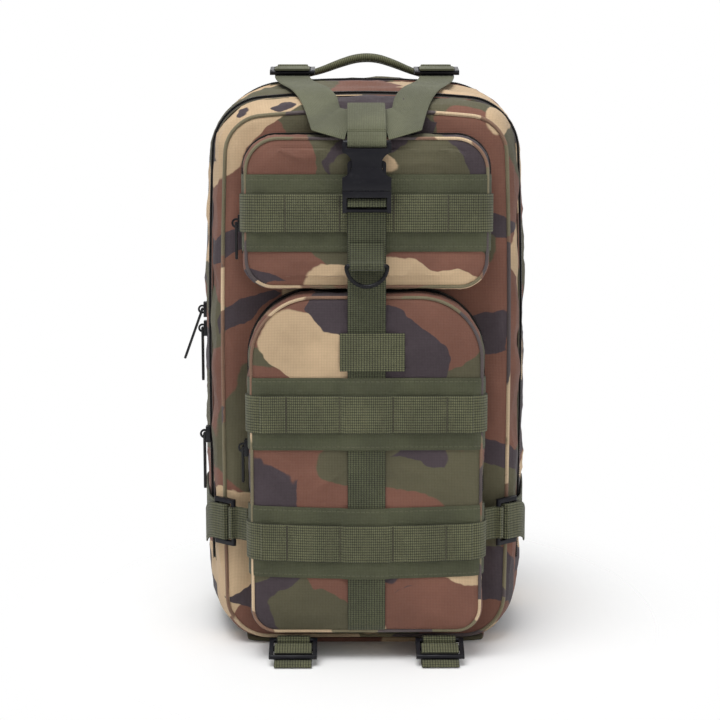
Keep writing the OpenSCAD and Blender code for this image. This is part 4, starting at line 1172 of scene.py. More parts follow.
@dataclass
class Pocket:
    """Front pocket: a rounded box of cloth with piping, sewn to the face."""

    node: str
    width: float
    low: float
    high: float
    top_r: float
    low_r: float
    front: float
    bands: tuple[float, ...]
    seed: int
    cut: tuple[float, float, float]
    soft: float = 9.0
    bulge: float = 3.0
    zip_end: float = 0.0
    zip_y: float = -84.0

    def ring(self, y: float, inset: float, count: int = 220) -> Array:
        """Outline of the pocket at depth y, drawn in by inset."""
        flat = FORM.outline(self.width / 2 - inset, self.low + inset, self.high - inset,
                            self.top_r - inset / 2, self.low_r - inset / 2)
        flat = at_steps(flat, count, closed=True)
        return np.stack([flat[:, 0], np.full(count, y), flat[:, 1]], 1)

    def free(self, z: Array) -> Array:
        """How far the cloth is free of the bands: 0 under one, 1 half-way between two."""
        stops = [self.low, *(mid + side for mid in self.bands for side in (-27, 27)), self.high]
        return sum(hump(z, a, b) for a, b in zip(stops[::2], stops[1::2]))

    def cloth(self) -> bpy.types.Object:
        """Side wall, rounded edge and front, which puffs between the bands.

        Front: y - bulge free(z) cos(pi x / w), with creases that fade at the edge.
        """
        turn = np.radians(np.linspace(0, 90, 7))
        wall = [(y, 0.0) for y in np.linspace(FORM.face_y - 0.4, self.front + self.soft, 9)[:-1]]
        edge = [(self.front + self.soft * (1 - sin(a)), self.soft * (1 - cos(a))) for a in turn]
        rows = [self.ring(y, i) for y, i in wall + edge]
        front = FORM.closing(rows[-1], np.linspace(0.97, 0.02, 26), (0.0, (self.low + self.high) / 2))
        grid = np.concatenate([np.stack(rows), front])
        y = grid[..., 1]
        by_zip = np.clip(np.abs(y - self.zip_y) / 7.0 - 0.3, 0.1, 1.0)
        side = hump(y, self.front + 1, FORM.face_y + 3) * by_zip
        grid = folded(grid, side, 26.0, 1.5, self.seed)
        free = self.free(front[..., 2]) * np.clip(np.cos(pi * front[..., 0] / self.width), 0, 1) ** 0.6
        rise = self.bulge * free * (0.75 + 0.4 * crumple(front, 46.0, self.seed + 3))
        rise += 2.2 * free * creases(front, 26.0, self.seed + 5)
        if self is LOWER:
            rise *= np.clip((np.abs(front[..., 0]) - 13) / 16, 0, 1) ** 0.7
        grid[len(rows):, :, 1] -= np.clip(rise, 0, 4.6)
        return piece(self.node + "_cloth", [Loft(grid, boxed=True)], WOODLAND, [self.node], cut=self.cut)

    def piping(self) -> tuple[bpy.types.Object, bpy.types.Object]:
        """Cord where the front meets the side wall, printed paler as painted highlight, and the seam on the
        face.
        """
        inset = self.soft * (1 - cos(pi / 4)) - 0.5
        ring = self.ring(self.front + inset, inset, 320)
        base = self.ring(FORM.face_y - 0.6, -0.4, 320)
        host = host_of(self.node)
        return (piece(self.node + "_piping", [tube(ring, 1.15, 8, True, up=DEEP)], PIPING_HIGHLIGHT, body=host),
                piece(self.node + "_seam", [tube(base, 1.2, 6, True, up=DEEP)], PIPING, body=host))

    def zip(self) -> list[Loft | Slab]:
        """Tape and coil of the pocket's zip."""
        ring = self.ring(self.zip_y, -0.5, FINE)
        line = ring[ring[:, 2] > self.zip_end]
        line = at_steps(line, int(run_of(line)[-1]))
        out = np.cross(unit(np.gradient(line, axis=0)), (0.0, -1.0, 0.0))
        tape = Slab(np.stack([line + np.array([0, s, 0]) for s in (-3.0, -1.0, 1.0, 3.0)], 1), 0.5)
        return [tape, *(coil(line + out * 0.55, out, side, 1.5) for side in (-1, 1))]

    def section(self, off: float) -> Array:
        """Line across the pocket's front in X and Y and 3 mm round it, standing off from the cloth."""
        a = np.radians(np.linspace(0, 90, 9))
        w, r = self.width / 2 - self.soft, self.soft + off
        corner = np.stack([w + r * np.cos(a), self.front + self.soft - r * np.sin(a)], 1)
        side = np.array([[w + r, self.front + self.soft + 3.0]])
        half = np.concatenate([side, corner])
        return np.concatenate([half, (half * (-1, 1))[::-1]])


UPPER = Pocket("upper_pocket", 174, 270, 378, 24, 20, -105, (324.0,), 51, (-12, -5, 568), zip_end=294)
LOWER = Pocket("lower_pocket", 168, 20, 267, 46, 18, -110, (90.0, 182.0), 63, (504, 0, 336), zip_end=120)


@dataclass
class FrontPockets:
    """Both pockets with their zips, bands, loop webbing and bar tacks."""

    pockets: tuple[Pocket, ...] = (UPPER, LOWER)
    band_h: float = 52.0
    pitch: float = 38.0
    stand: float = 1.3
    sag: float = 2.2

    def drooped(self, pocket: Pocket, x: Array, z: float) -> Array:
        """Height of a strip at x: the lowest band droops by sag cos(pi x / w)."""
        low = self.sag if pocket is LOWER and z == min(pocket.bands) else 0.0
        return z - low * np.cos(pi * np.asarray(x) / pocket.width)

    def zips(self) -> bpy.types.Object:
        """Both pocket zips."""
        forms = [form for pocket in self.pockets for form in pocket.zip()]
        return piece("pocket_zips_coil", forms, (TAPE, COIL), ["pocket_zips"])

    def across(
        self, pocket: Pocket, off: float, z: float, high: float, thick: float, lift: bool = False
    ) -> Slab:
        """A strip across a pocket, raised by up to 1.9 mm where it crosses the sewn strap.

        Args:
            pocket: The pocket that it lies on.
            off: How far its middle stands off from the cloth.
            z: Height of its middle.
            high: Height of the strip.
            thick: Its thickness.
            lift: Whether it rises between bar tacks, by stand sqrt |cos(pi x / pitch)|.

        Returns:
            The strip as a slab.
        """
        flat = at_steps(pocket.section(off), 150)
        rise = self.stand * np.sqrt(np.abs(np.cos(pi * flat[:, 0] / self.pitch))) if lift else np.zeros(150)
        rise = rise * (np.abs(flat[:, 0]) < pocket.width / 2 - 8)
        if pocket is LOWER:
            near = np.clip((19.0 - np.abs(flat[:, 0])) / 4.4, 0, 1)
            rise = np.maximum(rise, (1.9 if lift else 1.6) * near * near * (3 - 2 * near))
        line = np.stack([flat[:, 0], flat[:, 1] - rise, self.drooped(pocket, flat[:, 0], z)], 1)
        return strap(line, UP, high, thick)

    def bands(self) -> bpy.types.Object:
        """Wide bands behind the loop webbing."""
        strips = [self.across(p, 0.75, z, self.band_h + (2 if p is UPPER else 0), 1.0)
                  for p in self.pockets for z in p.bands]
        return piece("wide_bands", strips, BAND, ["pocket_bands"])

    def loops(self) -> bpy.types.Object:
        """Loop webbing that stands off between its bar tacks."""
        strips = [self.across(p, 1.95, z, WEB_W, WEB_T, True) for p in self.pockets for z in p.bands]
        return piece("loop_webbing", strips, WEBBING, ["pocket_loops"])

    def tacks(self) -> bpy.types.Object:
        """Bar tacks every pitch along the loop webbing."""
        forms = [bar_tack((x, p.front - 2.7, float(self.drooped(p, x, z))), (0, -1, 0), 25.0)
                 for p in self.pockets for z in p.bands for x in (-57, -19, 19, 57)]
        return piece("bar_tacks", forms, THREAD, body="front_lid")

    def build(self) -> list[bpy.types.Object]:
        """Pockets and everything sewn to them."""
        made = [p.cloth() for p in self.pockets]
        for p in self.pockets:
            made += p.piping()
        return made + [self.zips(), self.bands(), self.loops(), self.tacks()]


# ---------------------------------------------------------------- straps and hardware


@dataclass(frozen=True)
class Hardware:
    """Sizes that the straps and the hardware share, in mm."""

    lock_t: float = 3.6
    play: float = 0.4
    reach: float = 8.5
    socket_l: float = 31.0
    socket_z: float = 340.0
    buckle_y: float = -113.6
    ring_z: float = 288.0
    wire_r: float = 1.5
    ring_y: float = -119.6
    strap_y: float = -114.2
    lock_x: float = 56.0
    lock_y: float = 36.0
    lock_z: float = 428.0
    lock_tilt: float = 12.0
    side_z: float = 96.0
    side_yaw: float = 49.0
    side_c: tuple[float, float] = (-103.9, -75.1)
    foot: tuple[float, float, float] = (53.0, -113.0, 10.6)
    foot_tilt: float = 26.0

    @property
    def bar_r(self) -> float:
        """Radius of a ladder lock's bars."""
        return self.lock_t / 2

    @property
    def loop_r(self) -> float:
        """Radius of the middle of a webbing loop on a bar."""
        return self.bar_r + self.play + WEB_T / 2

    @property
    def stub_w(self) -> float:
        """Width of the stubs that hold a lock."""
        return WEB_W * 0.88


HW = Hardware()
# Names of the harness's sides, seen from behind the pack, by the sign of X.
HARNESS_SIDES = {1: "left", -1: "right"}


def lock_fold(load: float, tail: float) -> Array:
    """Line of webbing round a lock's middle bar, both plies running to +Y, in Y and Z."""
    z = HW.loop_r
    a = np.radians(np.linspace(-90, 90, 9))
    bend = np.stack([-1.2 - 1.6 * np.cos(a), z * np.sin(a)], 1)
    return np.concatenate([[(load, -z)], bend, [(tail, z)]])


def bar_loop(ply: Sequence[tuple[float, float]], radius: float) -> Array:
    """Line of a webbing loop round a bar at the origin: down the ply, round the bar and back.

    Args:
        ply: Middle line of the doubled ply in Y and Z, starting at the bar.
        radius: Radius of the loop's middle.

    Returns:
        Points in Y and Z.
    """
    line = np.asarray(ply, float)
    along = unit(np.gradient(line, axis=0))
    side = np.stack([-along[:, 1], along[:, 0]], 1) * (WEB_T / 2 + 0.05)
    far = np.degrees(np.arctan2(-along[0, 1], -along[0, 0]))
    a = np.radians(far + np.linspace(-105, 105, 15))
    arc = radius * np.stack([np.cos(a), np.sin(a)], 1)
    return np.concatenate([(line + side)[::-1], arc, line - side])


def in_space(flat: Array, at: tuple[float, float] = (0.0, 0.0)) -> Array:
    """Points in Y and Z put at x = 0 and moved by (y, z)."""
    return np.column_stack([np.zeros(len(flat)), flat + at])


def moulded(node: str, finish: Finish, bevel: float = 0.45) -> bpy.types.Object:
    """Finished copy of a hard CAD node: merged, flat faces joined, edges rounded.

    Args:
        node: CAD node that it replaces.
        finish: Its finish.
        bevel: Radius of the rounded edges in mm.

    Returns:
        The object.
    """
    mesh = frame["nodes"][node].data.copy()
    mesh.name = node + "_moulded"
    solid = bmesh.new()
    solid.from_mesh(mesh)
    bmesh.ops.remove_doubles(solid, verts=solid.verts, dist=0.02 * MM)
    bmesh.ops.dissolve_limit(solid, angle_limit=radians(0.8), verts=solid.verts, edges=solid.edges)
    sharp = [e for e in solid.edges if e.is_manifold and e.calc_face_angle(0.0) > radians(32)]
    bmesh.ops.bevel(solid, geom=sharp, offset=bevel * MM, offset_type="OFFSET", segments=2, profile=0.5,
                    affect="EDGES", clamp_overlap=True)
    bmesh.ops.remove_doubles(solid, verts=solid.verts, dist=0.004 * MM)
    bmesh.ops.recalc_face_normals(solid, faces=solid.faces)
    solid.to_mesh(mesh)
    solid.free()
    mesh.materials.clear()
    mesh.materials.append(finish.material())
    mesh.shade_smooth()
    mesh.set_sharp_from_angle(angle=radians(HARD_EDGE))
    return place(added(mesh.name, mesh), finish, [node])


@dataclass
class TopRigging:
    """Haul handle, Y strap, its locks and what anchors them along the top."""

    hw: Hardware = HW
    form: PackForm = FORM

    @property
    def bar(self) -> tuple[float, float]:
        """Y and Z of the top locks' rear bars."""
        a = radians(self.hw.lock_tilt)
        return (self.hw.lock_y + self.hw.reach * cos(a), self.hw.lock_z + self.hw.reach * sin(a))

    def arm(self, side: int) -> Slab:
        """One arm: from its tail over the lock's middle bar, under it and down to the patch.

        Args:
            side: 1 for +X, -1 for -X.

        Returns:
            Webbing whose inner and outer edges are eased through the same points as the lock's.
        """
        hw, f = self.hw, self.form
        half, top = WEB_W / 2, f.top_z
        fold = in_space((lock_fold(12.0, 12.0) * (-1, 1))[::-1])
        fold = turned(fold, hw.lock_tilt, (hw.lock_x, hw.lock_y, hw.lock_z))
        inner, outer = fold - (half, 0, 0), fold + (half, 0, 0)
        rows = []
        for x, y, turn, lift in ((53, 4, 8, 2.4), (47, -18, 14, 2.6), (40, -40, 16, 4.1), (33, -60, 25, 3.2)):
            dx, dy = half * cos(radians(turn)), half * sin(radians(turn))
            rows.append([(x + k * dx, y - k * dy, float(top(y - k * dy)) + lift) for k in (-1, 1)])
        rows += [[(18.7, -69, float(top(-70)) + 3.4), (38.4, -104, 381.5)]] * 3
        rows.append([(9.5, -76, float(top(-70)) + 1.2), (15.4, -113.0, 375.0)])
        inner = np.concatenate([inner, [r[0] for r in rows]])
        outer = np.concatenate([outer, [r[1] for r in rows]])
        both = eased(np.hstack([inner, outer]), 1.6, 3)
        points = both[:, None, :3] + (both[:, None, 3:] - both[:, None, :3]) * (WEB_SHARES[:, None] + 0.5)
        points = points * (side, 1, 1)
        run = run_of(both[:, :3] / 2 + both[:, 3:] / 2)
        width = np.linalg.norm(both[:, 3:] - both[:, :3], axis=1)
        cloth = np.stack([np.broadcast_to(run[:, None], points.shape[:2]), WEB_SHARES * width[:, None]], -1)
        return Slab(points, WEB_SWELL * WEB_T, cloth)

    def patch(self) -> Slab:
        """Webbing patch over the meeting arms, round the socket's bar and back up behind."""
        hw = self.hw
        bar = hw.socket_z + hw.socket_l + hw.bar_r
        r = hw.loop_r
        a = np.radians(np.linspace(180, 395, 17))
        arc = np.stack([hw.buckle_y + r * np.cos(a), bar + r * np.sin(a)], 1)
        front = [(-73.0, 400.5), (-84.0, 396.0), (-103.0, 386.8), (-112.8, 379.0),
                 (hw.buckle_y - r - 0.1, 373.0)]
        behind = [(hw.buckle_y + 1.6, bar + 5.5), (hw.buckle_y + 3.2, bar + 9.5)]
        line = np.concatenate([front, arc, behind])
        return strap(in_space(eased(line, 1.5, 2)), ACROSS)

    def strap(self) -> bpy.types.Object:
        """Both arms and the patch."""
        # The Y strap's webbing carries painted light.
        return piece("y_strap_webbing", [self.arm(1), self.arm(-1), self.patch()], LIT_TOP_WEB, ["top_strap"])

    def anchors(self) -> bpy.types.Object:
        """Stubs that hold the locks, and the ends of the handle."""
        hw = self.hw
        y, z = self.bar
        forms: list[Loft | Slab] = []
        top = self.form.top_z
        ply = [(2.4, -1.2), (7.6, -4.6), (11.4, -7.2), (15, FORM.height - z - 1.1)]
        line = eased(in_space(bar_loop(ply, hw.loop_r), (y, z)), 1.2, 2)
        for side in (-1, 1):
            forms.append(strap(line + (side * hw.lock_x, 0, 0), ACROSS, hw.stub_w))
            x = 52.2 * side
            base = float(top(y + 22))
            ends = [(x + side * 1.6, y + 22, base - 0.4), (x + side * 0.8, y + 22, base + 2.6),
                    (x - side * 1.0, y + 22, base + 5.4), (x - side * 3.6, y + 22, base + 7.2)]
            forms.append(strap(eased(ends, 1.2, 2), DEEP, 15.0, 3.6))
        return piece("top_stubs", forms, WEBBING, ["top_anchors"])

    def handle(self) -> bpy.types.Object:
        """Rolled webbing handle: an arch whose section grows from a flat end to a round grip."""
        y, _ = self.bar
        line = eased([(-47.6, 0, 12), (-34, 3.5, 15), (-18.5, 9.5, 21), (-4.7, 13.5, 24), (9.4, 13.5, 24),
                      (23.5, 9, 21), (36.6, 3.5, 15), (47.6, 0, 12)], 1.5, 3)
        turn = np.linspace(0, 2 * pi, 24, endpoint=False)
        c, s = np.cos(turn), np.sin(turn)
        across = np.sign(c) * np.abs(c) ** 0.6
        up = np.sign(s) * np.abs(s) ** 0.8
        ahead = unit(np.gradient(line[:, :2], axis=0))
        height = 2.4 + 1.0 * hump(line[:, 0], -44, 44)
        points = np.stack([
            line[:, 0:1] - ahead[:, 1:2] * height[:, None] * up,
            y + 22 + line[:, 2:3] / 2 * across,
            426.0 + line[:, 1:2] + ahead[:, 0:1] * height[:, None] * up,
        ], -1)
        run = run_of(points[:, 0])
        girth = np.append(across, across[0]) * 11.0
        cloth = np.stack(np.broadcast_arrays(run[:, None], girth[None]), -1)
        return piece("haul_grip", [Loft(points, cloth)], WEBBING, ["haul_handle"])

    def build(self) -> list[bpy.types.Object]:
        """Strap, locks, socket, anchors and handle."""
        return [self.strap(), self.anchors(), self.handle(), moulded("top_locks", PLASTIC),
                moulded("buckle_socket", PLASTIC, 0.7)]


@dataclass
class FrontStrap:
    """Centre strap with the plug, the D-ring, the patch and the side locks."""

    hw: Hardware = HW

    def webbing(self) -> bpy.types.Object:
        """Centre strap, its ply through the plug, and the fold that carries the ring."""
        hw = self.hw
        ply = 1.4 + 0.35 + WEB_T / 2
        y0, z0 = hw.buckle_y, hw.socket_z
        sewn = LOWER.front - WEB_T / 2 - 0.1
        line = [(y0 - ply, z0 - 11.2), (y0 - ply, z0 - 8), (y0 - 1.2, z0 - 6), (y0 + 1.2, z0 - 6),
                (y0 + ply, z0 - 8), (y0 + ply, z0 - 24), (y0 + ply, hw.ring_z + 12),
                (hw.strap_y - 0.7, hw.ring_z - 24), (sewn, LOWER.high - 22), (sewn, LOWER.high - 26),
                (sewn, 32), (sewn, 28), (sewn + 3.2, 22.2), (sewn + 9.6, 19.2), (-94, 19.2)]
        fold = bar_loop([(1.4, 2.2), (3.4, 6), (5.6, 11), (6.3, 15)], hw.wire_r + hw.play + WEB_T / 2)
        fold = eased(in_space(fold, (hw.ring_y, hw.ring_z)), 1.0, 2)
        forms = [strap(in_space(eased(line, 1.5, 3)), ACROSS), strap(fold, ACROSS, WEB_W - 3)]
        # The centre strap's webbing carries painted shade.
        return piece("centre_webbing_painted_shade", forms, SHADED_CENTRE_WEB, ["centre_strap"])

    def patch(self) -> bpy.types.Object:
        """Short piece of webbing sewn over the strap."""
        z = np.linspace(213, 240, 16)
        line = np.stack([np.full(16, 4.0), LOWER.front - 2.3 - 0.3 * np.sin(pi * (z - 213) / 27), z], 1)
        return piece("sewn_patch", [strap(line, ACROSS, 46, 1.2)], WEBBING, ["strap_patch"])

    def ring(self) -> bpy.types.Object:
        """D-ring: a straight bar and a half circle of wire."""
        hw = self.hw
        a = np.radians(np.linspace(0, -180, 40))
        bow = np.stack([14.3 * np.cos(a), np.zeros(40), 14.3 * np.sin(a)], 1)
        bar = np.stack([np.linspace(-14.3, 14.3, 16)[1:-1], np.zeros(14), np.zeros(14)], 1)
        loop = eased(np.concatenate([bow, bar]), 0.8, 2, closed=True) + (0, hw.ring_y, hw.ring_z)
        return piece("wire_ring", [tube(loop, hw.wire_r, 14, True, up=DEEP)], RING, ["d_ring"])

    def on_side(self, local: Array, side: int) -> Array:
        """Points of a side lock's own frame placed on the pack's lower corner."""
        x, y, z = np.moveaxis(local, -1, 0)
        a, c = radians(self.hw.side_yaw), self.hw.side_c
        out = -z * cos(a) - y * sin(a) + c[0]
        return np.stack([-side * out, y * cos(a) - z * sin(a) + c[1], x + self.hw.side_z], -1)

    def tabs(self) -> bpy.types.Object:
        """Webbing tabs that hold the side locks."""
        flat = bar_loop([(-1.8, -1.6), (-7, -2.3), (-13.4, -2.3)], self.hw.loop_r)
        line = eased(in_space(flat, (-self.hw.reach, 0)), 1.0, 2)
        forms = [strap(self.on_side(line, side), UP, self.hw.stub_w) for side in (-1, 1)]
        return piece("side_tab_webbing", forms, WEBBING, ["side_tabs"])

    def side_strap(self, side: int) -> bpy.types.Object:
        """Strap from the back seam to a side lock, round its middle bar, with a drooping tail.

        Args:
            side: 1 for +X, -1 for -X.

        Returns:
            The object.
        """
        hw, f = self.hw, FORM
        c = np.array(hw.side_c)
        a = radians(hw.side_yaw)
        d, n = np.array([-sin(a), cos(a)]), np.array([-cos(a), -sin(a)])
        z, clear = hw.loop_r, 3.35
        far = [(-float(f.half_w(at)) - off, y) for at, off, y in (
            (-40, clear, -43), (-40, clear + 0.3, -36), (-10, 2.2, -10), (30, clear, 26), (30, clear, 34),
            (50, 2.4, 50), (72, 1.6, 72), (80, 1.6, 80))]
        bend = np.radians(np.linspace(-90, 90, 9))
        turn = [c + d * (-1.2 - 1.6 * cos(t)) + n * (z * sin(t)) for t in bend]
        tip = c + 10.4 * d + z * n
        tail = [c + 6 * d + z * n, tip, tip + (-2.2, 4.0), tip + (-4.6, 12.0), tip + (-6.0, 19.0)]
        flat = np.array([*far[::-1], c + 13.8 * d - z * n, *turn, *tail])
        drop = np.concatenate([np.zeros(len(flat) - 3), [-1.0, -4, -8]])
        line = eased(np.stack([flat[:, 0], flat[:, 1], hw.side_z + drop], 1), 1.6, 2)
        line = line * (-side, 1, 1)
        name = "left" if side < 0 else "right"
        return piece("side_webbing_" + name, [strap(line, UP)], WEBBING, ["side_strap_" + name])

    def build(self) -> list[bpy.types.Object]:
        """Front strap pieces, both side straps and the hard parts."""
        made = [self.webbing(), self.patch(), self.ring(), self.tabs()]
        made += [self.side_strap(-1), self.side_strap(1)]
        return made + [moulded("buckle_plug", PLASTIC, 0.5), moulded("side_locks", PLASTIC)]


@dataclass
class Underside:
    """Bottom straps, their locks and the loop webbing on the sides."""

    hw: Hardware = HW

    def straps(self) -> bpy.types.Object:
        """Each bottom strap: a stub from the pocket, the lock, and webbing back under the base."""
        hw = self.hw
        x, y, z = hw.foot
        a = hw.foot_tilt
        forms: list[Loft | Slab] = []
        fold = lock_fold(9, 8) * (-1, 1)
        tied = turned(in_space(fold), a, (0, y, z))
        under = in_space(np.array([(y - 10.4, 4.0), (y - 13.4, 2.6), (y - 14.2, 1.6), (y - 12.6, 0.8),
                                   (y, 0.8), (-66.5, 0.8)]))
        line = eased(np.concatenate([tied[::-1], under]), 1.2, 3)
        bar = (y + hw.reach * cos(radians(a)), z + hw.reach * sin(radians(a)))
        ply = [(2.6, 0), (8.4, -0.3), (21.4, -5.3), (33.4, -12.1), (37.6, -12.1)]
        stub = eased(in_space(bar_loop(ply, hw.loop_r), bar), 1.2, 2)
        for side in (-1, 1):
            away = (side * x, 0, 0)
            forms += [strap(line + away, ACROSS), strap(stub + away, ACROSS, hw.stub_w)]
        return piece("bottom_webbing", forms, WEBBING, ["bottom_straps"])

    def sides(self) -> bpy.types.Object:
        """Two rows of loop webbing on each side of the rear half."""
        keys = [(12, 2.3), (14, 3.8), (22, 4.3), (29, 3.7), (32, 2.3), (35, 3.7), (41, 4.3), (47, 3.7),
                (50, 2.3)]
        forms: list[Loft | Slab] = []
        for side in (-1, 1):
            for z in (145, 276):
                narrow = float(FORM.narrowed(z + WEB_W / 2))
                wall = lambda a, off: (float(FORM.half_w(FORM.zip_y + a)) * narrow + off, FORM.zip_y + a, z)
                line = eased([wall(a, off) for a, off in keys], 1.2, 2)
                forms.append(strap(line * (side, 1, 1), UP))
                for a in (32.0, 49.5, 12.6):
                    forms.append(bar_tack(np.array(wall(a, 2.9)) * (side, 1, 1), (side, 0, 0), 24.0))
        return piece("side_loop_webbing", forms, WEBBING, ["side_loops"])

    def build(self) -> list[bpy.types.Object]:
        """Straps, loops and locks."""
        return [self.straps(), self.sides(), moulded("bottom_locks", PLASTIC)]


@dataclass
class Interior:
    """Divider, mesh pockets, organiser, water sleeve and frame sheet."""

    form: PackForm = FORM

    def divider(self) -> bpy.types.Object:
        """Divider: a thin disc of lining from edge to edge."""
        f = self.form
        a, b = f.ring(f.divider_y, 3.1), f.ring(f.divider_y + 1.6, 3.1)
        shares = (0.02, 0.35, 0.7, 0.93, 1.0)
        rows = np.concatenate([f.closing(a, shares), f.closing(b, shares[::-1])])
        return piece("divider_cloth", [Loft(rows)], LINING, ["divider_panel"])

    @staticmethod
    def pocket(
        w: float, z0: float, high: float, y: float, deep: float, way: int, x: float = 0.0
    ) -> list[Loft | Slab]:
        """Open-topped pocket: a wall round three sides, a floor and a bound top edge.

        Args:
            w: Width in mm.
            z0: Height of its floor.
            high: Height of the wall.
            y: Depth of its back edge.
            deep: How far it stands out.
            way: 1 towards the back, -1 towards the face.
            x: Middle.

        Returns:
            Slabs and a tube.
        """
        half = w / 2 - 0.6
        keys = [(-half, 0.3), (-half, deep * 0.6), (-half + 2.5, deep - 0.8), (half - 2.5, deep - 0.8),
                (half, deep * 0.6), (half, 0.3)]
        flat = eased(keys, 2.5, 3)
        rise = z0 + 0.6 + np.linspace(0, 1, 14) * (high - 0.6)
        grid = np.stack(np.broadcast_arrays(x + flat[:, :1], y + way * flat[:, 1:2], rise[None]), -1)
        share = np.array([[0.05, 0.35, 0.65, 0.97]])
        floor = np.stack(np.broadcast_arrays(x + flat[:, :1], y + way * flat[:, 1:2] * share, z0 + 0.6), -1)
        rim = grid[:, -1] + (0, 0, -0.3)
        return [Slab(grid, 0.9), Slab(floor, 0.9), tube(rim, 1.0)]

    def build(self) -> list[bpy.types.Object]:
        """All interior pieces."""
        y = self.form.divider_y
        lid = self.pocket(171.5, 60, 140, y + 1.7, 10, 1) + self.pocket(171.5, 222, 90, y + 1.7, 8, 1)
        slots = [form for x in (-54, 0, 54) for form in self.pocket(50, 70, 150, y - 0.1, 9, -1, x)]
        sleeve = self.pocket(179, 26, 278, 79.2, 9, -1)
        return [
            self.divider(),
            piece("lid_mesh_pockets", lid, MESH, ["lid_mesh"]),
            piece("organiser_pockets", slots, LINING, ["organiser"]),
            piece("water_sleeve", sleeve, LINING, ["inner_sleeve"]),
            moulded("frame_sheet", PLASTIC, 0.3),
        ]


@dataclass
class Sliders:
    """Zip sliders and their pulls."""

    names: tuple[str, ...] = ("main_{}_upper", "main_{}_lower", "front_{}", "upper_{}", "lower_{}")

    def build(self) -> list[bpy.types.Object]:
        """Every slider and pull."""
        parts = (("slider", SLIDER, 0.35), ("pull", PULL, 0.4))
        return [moulded(name.format(part), finish, r) for part, finish, r in parts for name in self.names]


